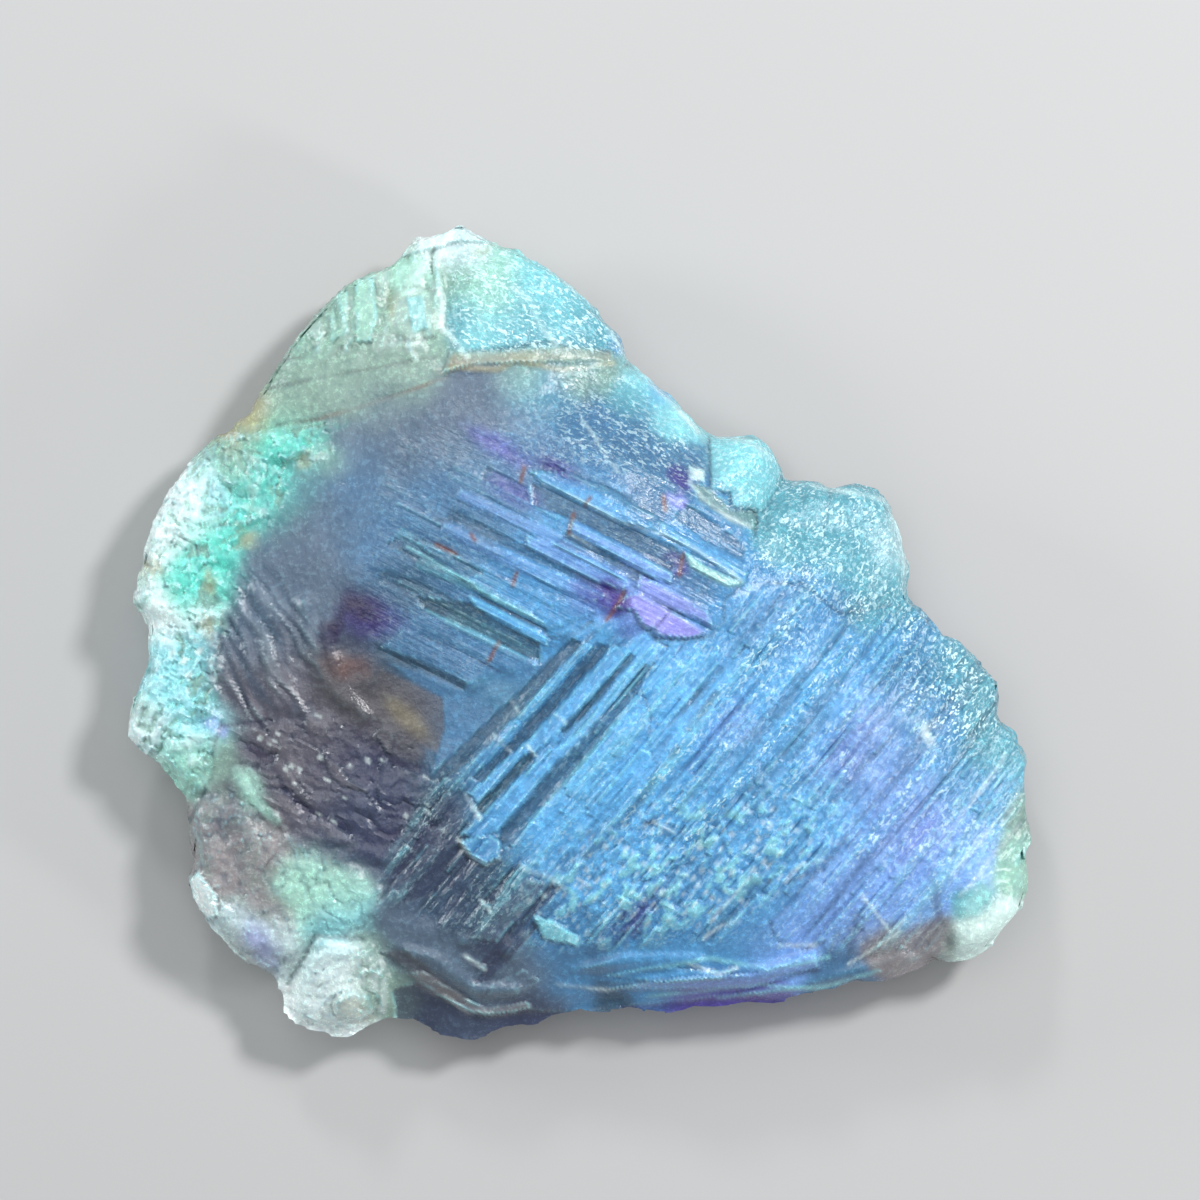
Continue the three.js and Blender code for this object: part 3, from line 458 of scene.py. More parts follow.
ROUGH = [(-35, -9.2), (-31, -8.8), (-24.5, -8.2), (-19.5, -9), (-16, -11.6), (-14.4, -15), (-13, -20),
    (-20.5, -21.4), (-26, -20.8), (-30, -18.4), (-33.6, -12)]
SLOPE = [(-24, 24), (-10, 26), (4, 26.6), (13, 21), (12, 15), (2, 17), (-6, 19), (-14, 15), (-22, 12)]
WAVY = [(-36, 8), (-31, 7), (-26, 0), (-26.6, -8), (-34.4, -9), (-35.6, -2)]
SHOULDER = [(-39.6, -17.6), (-37, -15), (-34, -14.6), (-31, -18.4), (-28.6, -21), (-23, -21.6),
    (-19, -24.6), (-20, -29.8), (-25.6, -30), (-28.8, -35.4), (-34, -36), (-41, -29)]
NODULE = [(-26.6, -30), (-22, -30.4), (-19.4, -32.4), (-19, -36), (-20, -42), (-26, -43), (-31, -41),
    (-29.2, -35)]
BOSS = (-22.4, -37.2)
LOBES = [(13, 19.8), (14, 22), (22, 20), (34, 17), (37, 3), (33.6, 0), (28, 0.6), (20, 4.6), (16.8, 6),
    (17, 9.6), (15, 13)]
PALE_LOBE = [(36.4, -33), (37.2, -28), (39.6, -24.6), (43, -20.4), (48, -19), (47, -33), (38, -36)]


def zones(x, y):
    """How much of each kind of surface a place has."""
    edge = 0.6 * noise(x, y, 2.2, 71)
    cap = area(x, y, CAP, 0.5)
    lobes = area(x, y, LOBES, 2.0)
    block = area(x + edge, y, BLOCK, 2.4)
    field = area(x, y + edge, FIELD, 2.4) * (1 - block)
    a, b = to_lattice(x, y)
    ridges = ease(0.55 + 0.9 * field_lines(a, b))  # frost keeps to the crests of the field
    frost_a = 0.9 * cap * ease((x + 13.8) / 2) * ease((y - 27.4) / 1.2)
    frost_a += 0.5 * area(x, y, SLOPE, 5) * ease((x + 12) / 14) + 0.1 * block
    frost_b = (
        0.8 * lobes
        + patch(x, y, (38, -6), (8, 10), 30, 0.8)
        + ridges * (
            0.9 * patch(x, y, (24, -6), (14, 12), -30, 0.8)
            + patch(x, y, (16, -16), (13, 9), 20, 0.7)
            + 0.7 * patch(x, y, (31, -17), (10, 11), 40, 0.8)
            + 0.35 * field
        )
    )
    return {
        "cap": cap,
        "fluted": cap * ease((-13.4 - x + edge) / 1.2) * ease((y - 26.4) / 3),
        "crust": area(x + edge, y - edge, CRUST, 0.9),
        "block": block,
        "field": field,
        "rough": area(x + edge, y + edge, ROUGH, 1.6),
        "shoulder": area(x, y, SHOULDER, 1.4),
        "nodule": area(x, y, NODULE, 0.7),
        "pale_lobe": area(x, y, PALE_LOBE, 2.4),
        "wavy": area(x + edge, y, WAVY, 3.0),
        "lumpy": patch(x, y, (10, -23), (22, 8.5), 16, 0.6),
        "frost_a": np.clip(frost_a, 0, 1),
        "frost_b": np.clip(frost_b, 0, 1),
    }


# Relief

def crinkle(x, y):
    """Crumpled sheet-like relief of the crust."""
    bend_x = x + 1.5 * noise(x, y, 3.1, 21) + 0.5 * noise(x, y, 1.1, 25)
    bend_y = y + 1.5 * noise(x, y, 3.1, 22) + 0.5 * noise(x, y, 1.1, 26)
    folds = ridged(0.7 * bend_x + 0.6 * bend_y, 1.5 * bend_y - 0.8 * bend_x, 2.2, 23)
    value, border = cells(0.8 * bend_x + 0.4 * bend_y, 1.2 * bend_y - 0.3 * bend_x, 1.9, 24)
    return 0.8 * (folds - 0.5) + 0.4 * (value - 0.5) - 0.15 * ease(1 - border / 0.12)


def wrinkles(x, y):
    """Thin meandering lines, from 0 to 1."""
    bent = noise(x + 0.4 * y, 1.3 * y, 2.1, 27) + 0.4 * noise(x, y, 0.8, 28)
    return ease(1 - np.abs(bent) / 0.22)


def chipped(x, y):
    """Scalloped ledges of a rough fracture, longer along the first step direction."""
    bend_x = x + 1.2 * noise(x, y, 2.4, 31)
    bend_y = y + 1.2 * noise(x, y, 2.4, 32)
    u, v = turned(bend_x, bend_y, (0, 0), -30)
    folds = ridged(0.3 * u, v, 2.2, 35)
    value, border = cells(0.4 * u, v, 1.3, 33)
    small, _ = cells(0.5 * u, v, 0.62, 34)
    return 0.5 * (folds - 0.5) + 0.4 * (value - 0.5) + 0.2 * (small - 0.5) - 0.1 * ease(1 - border / 0.16)


def flutes(x, y):
    """Upright flutes of the cap's left half."""
    lean = x - 0.1 * (y - 30) + 0.6 * noise(x, y, 3.4, 41)
    blades = noise(lean, 0.2 * y, 1.3, 42) + 0.5 * noise(lean, 0.4 * y, 0.6, 43)
    return 0.5 * blades + 0.3 * fractal(x, y, 1.8, 44)


def waves(x, y):
    """Wavy ridges that fan down beside the crust."""
    fan = (x + 36) * 0.86 + (y + 2) * (0.5 + 0.01 * (x + 36)) + 0.7 * noise(x, y, 3.2, 51)
    sharp = (1 - np.abs(noise(fan, 0.08 * y, 0.8, 52))) ** 2
    return 0.27 * (sharp - 0.4) + 0.2 * noise(fan, 0.2 * y, 0.55, 53)


def wavelets(a, b):
    """Short ragged lumps that lie along the second step direction."""
    across = a + 0.4 * noise(a, b, 1.4, 61)
    return 0.26 * noise(across, 0.45 * b, 0.8, 62) + 0.18 * noise(across, 0.8 * b, 0.42, 63)


def lines_along(along, across, seed):
    """Fine parallel striations."""
    fine = noise(across, 0.06 * along, 0.55, seed) + 0.7 * noise(across, 0.1 * along, 0.3, seed + 1)
    broad = 0.7 * noise(across, 0.05 * along, 1.7, seed + 2)
    broad += 0.4 * noise(across, 0.04 * along, 3.3, seed + 3)
    return 0.3 * fine + broad


def block_lines(a, b):
    return lines_along(a, b, 141)


def field_lines(a, b):
    return lines_along(b, a, 151)


def plates(along, across, amount, seed):
    """Many thin plates laid over each other along one direction: their height, and their tone around 0."""
    height = np.zeros(np.shape(along))
    tone = np.zeros(np.shape(along))
    rng = np.random.default_rng(seed)
    for _ in range(amount):
        middle = rng.uniform(-42, 51, 2)
        length, width = rng.uniform(3, 14), rng.uniform(0.5, 2.2)
        lift, shade = rng.uniform(0.3, 1), rng.uniform(-1, 1)
        u, v = (along - middle[0]) / length, (across - middle[1]) / width
        on = (np.abs(u) < 0.5) & (np.abs(v) < 0.5)
        height[on] += (lift * (0.5 - v))[on]
        tone[on] += shade
    return height, tone


def block_plates(a, b):
    return plates(a, -b, 300, 81)


def field_plates(a, b):
    return plates(b, a, 700, 82)


def wander(x, y):
    """Small sideways shift that makes traced borders ragged."""
    return 0.06 * noise(x, y, 0.8, 86)


def traced_relief(x, y):
    """Relief of the traced facets, cracks and edges."""
    u, v = x + wander(x, y), y - wander(x, y)
    height = np.zeros(np.shape(x))
    for _, _, lift, points in FACETS:
        height += lift * area(u, v, points, 0.3)
    for _, width, points in CRACKS:
        height -= CRACK_DEPTH * stroke(u, v, points, width, 0.5)
    for _, width, points in EDGES:
        height += EDGE_HEIGHT * stroke(u, v, points, width, 0.5)
    return height


def relief(a, b, x, y):
    """Height of the fine relief over the smooth face."""
    zone = zones(x, y)
    plain = 1 - np.clip(zone["crust"] + zone["rough"], 0, 1)
    height = 0.12 * plain * fractal(x, y, 2.4, 83)
    height += zone["block"] * (0.14 * block_plates(a, b)[0] + 0.05 * block_lines(a, b))
    height += zone["field"] * (0.26 * field_plates(a, b)[0] + 0.46 * field_lines(a, b))
    height += 0.6 * zone["crust"] * crinkle(x, y)
    wrinkled = np.maximum(zone["crust"], 0.7 * zone["shoulder"] + 0.7 * zone["nodule"])
    height -= 0.14 * wrinkled * wrinkles(x, y)
    height += 0.7 * zone["rough"] * chipped(x, y)
    height += zone["shoulder"] * (0.3 * crinkle(x, y) + 0.3 * fractal(x, y, 3, 84))
    height += 0.4 * zone["nodule"] * crinkle(0.8 * x, 0.8 * y)
    height += zone["fluted"] * flutes(x, y)
    height += zone["wavy"] * waves(x, y)
    height += (0.6 * zone["lumpy"] + 0.25 * zone["field"]) * wavelets(a, b) * (1 - zone["block"])
    height += 0.1 * np.maximum(zone["frost_a"], zone["frost_b"]) * noise(x, y, 0.6, 85)
    boss = np.hypot(x - BOSS[0], 1.2 * (y - BOSS[1])) + 0.4 * noise(x, y, 1.7, 87)
    height += 0.5 * ease((2.2 - boss) / 0.7) - 0.18 * ease(1 - np.abs(boss - 2.3) / 0.35)
    return height + traced_relief(x, y)


# The fine solid

GRID_START = (CELL * round(SPAN_A[0] / CELL), CELL * round(SPAN_B[0] / CELL))


def face_grid():
    """The grid of the face, aligned to the growth steps."""
    count_a = int((SPAN_A[1] - SPAN_A[0]) / CELL)
    count_b = int((SPAN_B[1] - SPAN_B[0]) / CELL)
    rows = GRID_START[0] + CELL * np.arange(count_a)
    columns = GRID_START[1] + CELL * np.arange(count_b)
    return np.meshgrid(rows, columns, indexing="ij")


def on_grid(values, x, y):
    """What a grid of values holds at the nearest grid place."""
    a, b = to_lattice(x, y)
    i = np.clip(np.rint((a - GRID_START[0]) / CELL).astype(int), 0, values.shape[0] - 1)
    j = np.clip(np.rint((b - GRID_START[1]) / CELL).astype(int), 0, values.shape[1] - 1)
    return values[i, j]


def solid_heights(x, y):
    """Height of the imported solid's face at each place, and whether the solid is there at all."""
    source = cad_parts[NODE].data
    corners = [v.co[:] for v in source.vertices]
    tree = BVHTree.FromPolygons(corners, [tuple(p.vertices) for p in source.polygons])
    down = Vector((0, 0, -1))
    above = 0.1  # metres, well clear of the solid
    height = np.zeros(x.size)
    there = np.zeros(x.size, bool)
    for i, (px, py) in enumerate(zip(x.flat, y.flat)):
        hit = tree.ray_cast(Vector((px * MM, py * MM, above)), down)[0]
        if hit:
            height[i] = hit.z / MM
            there[i] = True
    return height.reshape(x.shape), there.reshape(x.shape)


def blurred(values, weight, reach):
    """Values averaged over their neighbours within about reach, counting only places with weight."""
    steps = np.arange(-int(2.5 * reach / CELL), int(2.5 * reach / CELL) + 1)
    kernel = np.exp(-0.5 * (steps * CELL / reach) ** 2)
    total, share = values * weight, weight.astype(float)
    for axis in (0, 1):
        total = np.apply_along_axis(np.convolve, axis, total, kernel, "same")
        share = np.apply_along_axis(np.convolve, axis, share, kernel, "same")
    return np.where(share > 1e-3, total / np.maximum(share, 1e-3), FAR_HEIGHT)


def fine_heights(a, b, x, y):
    """Height of the fine face over the grid."""
    solid, there = solid_heights(x, y)
    zone = zones(x, y)
    close = blurred(solid, there, CLOSE_REACH)
    smooth = blurred(solid, there, WIDE_REACH)
    calm = np.clip(0.85 * (zone["block"] + zone["field"]) + 0.6 * zone["rough"] + 0.7 * zone["cap"], 0, 1)
    return close + (smooth - close) * calm + relief(a, b, x, y)


def grid_block(x, y, height):
    """A closed block whose top is the fine face."""
    rows, columns = x.shape
    top = np.column_stack([x.ravel(), y.ravel(), height.ravel()]) * MM
    number = np.arange(rows * columns).reshape(rows, columns)
    corners = [number[:-1, :-1], number[:-1, 1:], number[1:, 1:], number[1:, :-1]]
    quads = np.stack(corners, -1).reshape(-1, 4)
    rim = np.concatenate([number[:-1, 0], number[-1, :-1], number[:0:-1, -1], number[0, :0:-1]])
    under = top[rim].copy()
    under[:, 2] = BLOCK_BOTTOM * MM
    base = rows * columns + np.arange(len(rim))
    walls = np.stack([rim, np.roll(rim, -1), np.roll(base, -1), base], -1)
    mesh = bpy.data.meshes.new("face_block")
    faces = quads.tolist() + walls.tolist() + [base.tolist()]
    mesh.from_pydata(np.vstack([top, under]).tolist(), [], faces)
    return mesh


def mesh_object(name, mesh):
    piece = bpy.data.objects.new(name, mesh)
    bpy.context.scene.collection.objects.link(piece)
    return piece


def apply_modifiers(piece):
    """Gives a piece the mesh that its modifiers make."""
    graph = bpy.context.evaluated_depsgraph_get()
    made = bpy.data.meshes.new_from_object(piece.evaluated_get(graph))
    piece.modifiers.clear()
    piece.data = made


def coordinates(mesh, name="co", source="vertices"):
    values = np.empty(3 * len(getattr(mesh, source)), np.float32)
    getattr(mesh, source).foreach_get(name, values)
    return values.reshape(-1, 3).astype(float)


def rim_breaks(x, y, z, normal):
    """Moves of the steep rim along its normal."""
    side = ease((0.75 - np.abs(normal[:, 2])) / 0.5)
    breaks = 0.25 * fractal(x + 0.7 * z, y - 0.6 * z, 3, 91) + 0.2 * noise(x + 2 * z, y + 2 * z, 1.3, 92)
    return normal * (side * breaks)[:, None]


def back_pits(x, y, z, normal):
    """Depth of the cleavage pits of the back, which leave the resting face flat."""
    under = ease((-normal[:, 2] - 0.2) / 0.3) * ease((z - 0.05) / 0.6)
    value, border = cells(x + 0.4 * y, y, 2.6, 93)
    pits = 0.35 * value + 0.2 * ridged(x, y, 2.2, 94) - 0.15 * ease(1 - border / 0.2)
    return under * np.maximum(pits, 0)


def shell():
    """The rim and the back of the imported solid, reaching up past its face, with their broken relief."""
    piece = mesh_object("shell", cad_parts[NODE].data.copy())
    remesh = piece.modifiers.new("even", "REMESH")
    remesh.mode = "VOXEL"
    remesh.voxel_size = SHELL_VOXEL * MM
    apply_modifiers(piece)
    mesh = piece.data
    place = coordinates(mesh) / MM
    normal = coordinates(mesh, "vector", "vertex_normals")
    x, y, z = place.T
    move = rim_breaks(x, y, z, normal)
    move[:, 2] += back_pits(x, y, z, normal)
    move[:, 2] += FACE_CLEARANCE * ease((normal[:, 2] - 0.25) / 0.3)
    moved = place + move
    moved[:, 2] = np.maximum(moved[:, 2], 0)
    mesh.vertices.foreach_set("co", (moved * MM).astype(np.float32).ravel())
    mesh.update()
    return piece


def fine_crystal(x, y, height):
    """The whole crystal as one closed mesh: the fine face, crossed with the rim and the back."""
    piece = mesh_object("fluorite_surface", grid_block(x, y, height))
    envelope = shell()
    cross = piece.modifiers.new("cross", "BOOLEAN")
    cross.operation = "INTERSECT"
    cross.solver = "MANIFOLD"
    cross.object = envelope
    apply_modifiers(piece)
    bpy.data.objects.remove(envelope)
    piece.data.set_sharp_from_angle(angle=SHARP_ANGLE)
    return piece


# Colours

def linear(colour):
    """sRGB from 0 to 255 as linear light."""
    share = np.asarray(colour, float) / 255
    return np.where(share <= 0.04045, share / 12.92, ((share + 0.055) / 1.055) ** 2.4)


PALETTE = {
    "white": (240, 254, 252), "pearl": (206, 226, 228), "mint": (176, 226, 208),
    "celadon": (140, 180, 164), "aqua": (150, 224, 232), "turquoise": (98, 222, 204),
    "teal": (104, 172, 188), "sage": (136, 164, 152), "sky": (100, 178, 234), "azure": (84, 152, 204),
    "steel": (76, 120, 158), "periwinkle": (132, 174, 240), "slate": (58, 86, 108),
    "grey_violet": (92, 110, 130), "grey": (92, 90, 102), "taupe": (146, 140, 142),
    "umber": (82, 80, 86), "ochre": (172, 158, 116), "rust": (122, 72, 56), "purple": (72, 42, 134),
    "violet": (98, 94, 176), "lavender": (160, 158, 240), "night": (44, 40, 72), "deep": (60, 68, 94),
    "olive": (50, 74, 84),
}
LINEAR = {name: linear(colour) for name, colour in PALETTE.items()}

# Broad colours of the face: colour, and the places that have it as x, y, reach.
TINTS = {
    # the white and pearl places, on the thin rim and the nodule, are painted glow standing in for light
    # shining through the crystal
    "white": [(-36.8, 1.6, 1.4), (-25, -38.6, 2.4), (-28, -37.6, 2), (-12, 39.8, 2), (-38, 13.6, 2.4),
        (-40.6, 1.4, 2.2), (-43.4, -9, 2.2), (-27.4, -39, 3), (-41, 10, 2.4), (41, -30, 2.2),
        (-24, -33.4, 2.2)],
    "pearl": [(-24, -36, 2), (-24, -33, 2.6), (-31.4, -31, 2.6), (-34, -29.4, 2), (31.6, 9, 2.4),
        (-12.6, 38, 1.6)],
    "mint": [(-8.6, 34, 3), (-16.4, 35.4, 1.6), (-39, -12.6, 2.4), (-25.6, -26.6, 3),
        (-32.6, -15.4, 1.6)],
    "celadon": [(-33.4, 18, 2.6), (43.8, -22.4, 1.6), (-16.4, 32, 3), (-22, 32.6, 3), (-27, 29, 2),
        (-28.6, 21.6, 2), (-12.6, 36, 2), (-25, 17.6, 2)],
    "aqua": [(-39, -2.4, 2.4), (-36.4, 14, 2), (-41, -5, 3), (-39, -9, 3), (-24, -29, 2.4),
        (16.4, 17, 2), (10, 22, 2.4), (-9, 30.4, 2), (6.6, 26, 2), (-3, 33.4, 3.4)],
    "turquoise": [(-30.4, 14.6, 3.2), (-27, 19, 1.8), (-34, 11.6, 2.6), (-37, 8.4, 2.8),
        (-37.6, 3.6, 2.4), (-30, 19, 2)],
    "teal": [(-25, -28.4, 1.6), (24, 13, 3), (29, 9, 4), (31, 4.6, 3), (18, 15.6, 2), (-11, 32, 2),
        (22.6, 10.6, 3), (5, 24.4, 2), (-7.6, -6, 2), (41, -12, 2.6), (-4, 24, 2.6), (37, -3, 3),
        (41.4, -8, 3), (39, -26.2, 1.2), (-6, 31.4, 3), (0, 31.6, 3)],
    "sage": [(-5, 25, 2), (-0.8, 25.2, 1.8), (3.4, 26, 1.6), (-20.4, -35, 2.6), (-28, 25, 4),
        (-22, 25.6, 4), (-16.6, 27, 3), (-36.4, -13, 1.8), (-20.4, -33, 2), (44.4, -18.4, 1.6),
        (-19, 33, 2), (-25, 32, 2)],
    "ochre": [(-32.6, 21.6, 2.6), (-35.4, 19.4, 1.4)],
    "grey_violet": [(-10, 22.6, 4), (-20, 18, 5), (-27, 12, 5), (-30, 7, 4), (-32, 0, 4), (-27, 2, 4),
        (-13, 21, 4), (-4, -34.6, 3), (-26, 6, 4), (-16, -30.4, 3), (-13, -34.6, 2.6)],
    "grey": [(-29, 0, 2), (-28.6, -3.4, 2), (-33, -5, 4), (-30, -12, 4), (-25, -14, 4), (-34, -17.4, 2)],
    "taupe": [(-37, -19.6, 2.6), (-34, -23, 3.6), (-30.6, -27.6, 2), (-33, -33, 2), (35, -30, 1.6),
        (31, -31, 1.8)],
    "umber": [(-25, -2.6, 3), (-21, -4.6, 3), (-20, -8, 3), (-16.4, -7, 2), (-17, -11, 2)],
    "deep": [(-20, -15, 4), (-16, -19, 4), (-13, -25, 3), (-9, -31, 2), (-4, -38, 2), (-21, -18, 4),
        (-21.4, 1.6, 2.6)],
    "slate": [(-8, -26, 4), (-17, -2, 3), (4, -37, 1.6), (-17, 5, 3), (-12.6, -15, 3)],
    "steel": [(-2.6, 24.2, 1.8), (-13.4, -7.2, 2.6), (11, 5.4, 2), (8, 13, 2), (-2, 21, 4),
        (-15, 13, 4), (-19, 8, 4), (-12, 7, 4), (-15, 1, 4), (-9, 17, 4), (-7, 11, 3), (9, 15, 3),
        (-12, -2.6, 3), (4, 19, 4), (-4, -27, 3), (26, -34, 2), (-22, 15, 4), (-9, -8, 3), (0, -33, 3)],
    "azure": [(-1, -35, 2), (1, 14, 3), (12, 10, 3), (-7, -1, 4), (-2, -3, 3), (-8, -13, 4), (16, 2, 4),
        (22, 1, 4), (10, -27, 4), (34, -9, 4), (8, -34, 3), (18, -28, 4), (33, -3, 4), (-5, 6, 4),
        (39, -15, 3), (-3, 9.6, 3), (9, 25, 2), (5, 29, 1.6), (-1, -30, 2.6)],
    "sky": [(4, -8, 5), (9, -6, 5), (2, -18, 5), (11, -15, 5), (17, -12, 5), (18, -20, 5), (23, -17, 5),
        (-2, -22, 4), (24, -5, 4), (7, -22, 4), (13, -5, 4)],
    "periwinkle": [(28, -11, 4), (32, -17, 4), (26, -25, 4), (21, -30, 3), (30, -23, 4), (15, -8, 2.4),
        (36, -21, 3), (8, 3, 2.4)],
    "violet": [(12, -37, 2), (18, -37, 2)],
}


def mix(base, name, share):
    share = np.clip(share, 0, 1)[:, None]
    return base * (1 - share) + LINEAR[name] * share


def tint(x, y):
    """Broad colour of each place, blended from the places near by."""
    wander_x = x + 1.3 * fractal(x, y, 5, 101)
    wander_y = y + 1.3 * fractal(x, y, 5, 102)
    total = np.zeros((len(x), 3))
    weight = np.full(len(x), 1e-9)
    for name, places in TINTS.items():
        for px, py, reach in places:
            near = np.exp(-0.5 * ((wander_x - px) ** 2 + (wander_y - py) ** 2) / (0.62 * reach) ** 2) + 1e-8
            total += near[:, None] * LINEAR[name]
            weight += near
    return total / weight[:, None]


def zone_colours(colour, x, y, zone):
    """Colours that follow the relief of each zone: mostly paler on crests, a painted highlight, and darker
    in hollows, a painted shade.
    """
    a, b = to_lattice(x, y)
    folds = crinkle(x, y)
    chips = chipped(x, y)
    blades = flutes(x, y)
    ridges = waves(x, y)
    lines = wrinkles(x, y)
    lumps = wavelets(a, b)
    tone = zone["block"] * (0.8 * block_plates(a, b)[1] + 0.4 * block_lines(a, b))
    tone += zone["field"] * (0.45 * field_plates(a, b)[1] + 1.7 * field_lines(a, b))
    for name, share in (
        ("white", zone["crust"] * ease(folds / 0.5) * 0.45),
        ("turquoise", zone["crust"] * ease(-folds / 0.3) * 0.3),
        ("sage", zone["crust"] * ease((-folds - 0.15) / 0.25) * 0.7),
        ("slate", 0.35 * zone["crust"] * lines * ease(0.6 + noise(x, y, 3, 29))),
        ("slate", 0.35 * (zone["shoulder"] + 0.4 * zone["nodule"]) * lines),
        ("night", zone["rough"] * ease(-chips / 0.3) * 0.55),
        ("taupe", zone["rough"] * ease(chips / 0.4) * 0.35),
        ("white", zone["fluted"] * ease(blades / 0.5) * 0.25),
        ("sage", zone["fluted"] * ease(-blades / 0.45) * 0.6),
        ("slate", zone["wavy"] * ease(-ridges / 0.3) * 0.55),
        ("pearl", zone["wavy"] * ease(ridges / 0.3) * 0.12),
        ("sage", zone["shoulder"] * ease(-folds / 0.5) * 0.3),
        # painted glow: the nodule's crests and the pale lobe, standing in for light shining through the
        # thin crystal
        ("white", zone["nodule"] * ease(folds / 0.6 + 0.5) * 0.6),
        ("mint", 0.35 * zone["pale_lobe"]),
        # painted shade in the hollows and painted highlight on the crests of the lumps
        ("azure", 0.6 * zone["lumpy"] * ease(-lumps / 0.15)),
        ("aqua", 0.8 * zone["lumpy"] * ease(lumps / 0.1 - 0.7)),
        ("slate", 0.5 * ease(-tone / 1.6)),
        ("aqua", 0.45 * ease(tone / 1.8)),
    ):
        colour = mix(colour, name, share)
    return colour


def glint_flecks(x, y, zone):
    """Bright flecks of the lumpy parts and of the crust, painted as glints."""
    lumps = flecks(x, y, 0.8, 1.9, 50, 0.5, 129) * zone["lumpy"]
    bricks = flecks(x, y, 1.3, 1.8, 35, 0.7, 133) * patch(x, y, (-39.4, -2.8), (3.4, 3), 0, 0.4)
    chips = flecks(x, y, 0.7, 1.8, -30, 0.1, 137) * zone["rough"]
    return np.clip(0.6 * lumps + bricks + 0.6 * chips, 0, 1)


def traced_colours(colour, x, y, up):
    """Colours of the traced facets, spots, cracks, edges and marks, with the painted shade of the risers,
    the painted glow of the rim and the painted highlights of the edges.
    """
    u, v = x + wander(x, y), y - wander(x, y)
    veins = fractal(x, y, 1.6, 113)
    fade = up * (0.35 + 0.65 * ease(0.5 + 0.8 * noise(x, y, 2.2, 114)))
    for name, strength, _, points in FACETS:
        colour = mix(colour, name, up * strength * area(u, v, points, 0.35))
    for name, strength, middle, (length, width), turn in SPOTS:
        spot = patch(x + veins, y - veins, middle, (1.35 * length, 1.35 * width), turn, 0.9)
        colour = mix(colour, name, up * strength * spot)
    for name, width, points in CRACKS:
        colour = mix(colour, name, 0.6 * fade * stroke(u, v, points, width, 0.4))
    # most edges are painted highlights
    for name, width, points in EDGES:
        colour = mix(colour, name, 0.6 * fade * stroke(u, v, points, width, 0.4))
    for points in RUST_MARKS:
        colour = mix(colour, "rust", 0.85 * up * stroke(u, v, points, 0.4, 0.4))
    return colour


def paint_crystal(piece, height):
    """Stores the colours, and where the frost and the striations are, on the mesh."""
    mesh = piece.data
    x, y, _ = (coordinates(mesh) / MM).T
    normal = coordinates(mesh, "vector", "vertex_normals")
    up = ease((normal[:, 2] + 0.1) / 0.4)
    zone = zones(x, y)
    colour = zone_colours(tint(x, y), x, y, zone)
    colour = traced_colours(colour, x, y, up)
    # painted glints in white
    colour = mix(colour, "white", 0.75 * up * glint_flecks(x, y, zone))

    # painted highlight: crests turn pale aqua; painted shade: hollows turn darker olive
    around = sum(np.roll(height, step, axis) for step in (-1, 1) for axis in (0, 1)) / 4
    hollow = on_grid(around - height, x, y) / CELL
    highlight_strength = np.clip(colour.mean(1) / 0.2, 0.15, 1) * (1 - 0.9 * np.maximum(zone["rough"], zone["wavy"]))
    colour = mix(colour, "aqua", 0.5 * up * highlight_strength * ease(-hollow / 0.6))
    colour = mix(colour, "olive", 0.35 * up * ease(hollow / 0.6))
    colour = np.clip(colour * (1 + 0.1 * fractal(x, y, 0.9, 112, 2))[:, None], 0, 0.95)

    layer = mesh.color_attributes.new("tint", "FLOAT_COLOR", "POINT")
    layer.data.foreach_set("color", np.column_stack([colour, np.ones(len(x))]).astype(np.float32).ravel())
    for name in MASKS:
        mesh.attributes.new(name, "FLOAT", "POINT").data.foreach_set("value", zone[name].astype(np.float32))


# Material

FLUORITE_IOR = 1.434
STRIA_SHADE = (0.5, 0.62, 0.78, 1)
GRAIN_SHADE = (0.5, 0.62, 0.74, 1)
GRAIN_LIGHT = (1.5, 1.7, 1.6, 1)
FROST_GROUND = (0.5, 0.68, 0.72, 1)
FROST_GLINT = (0.7, 0.96, 1.0, 1)
CLEAR_BLUE = (0.5, 0.8, 0.96, 1)  # what the clear crystal leaves of the light that crosses it


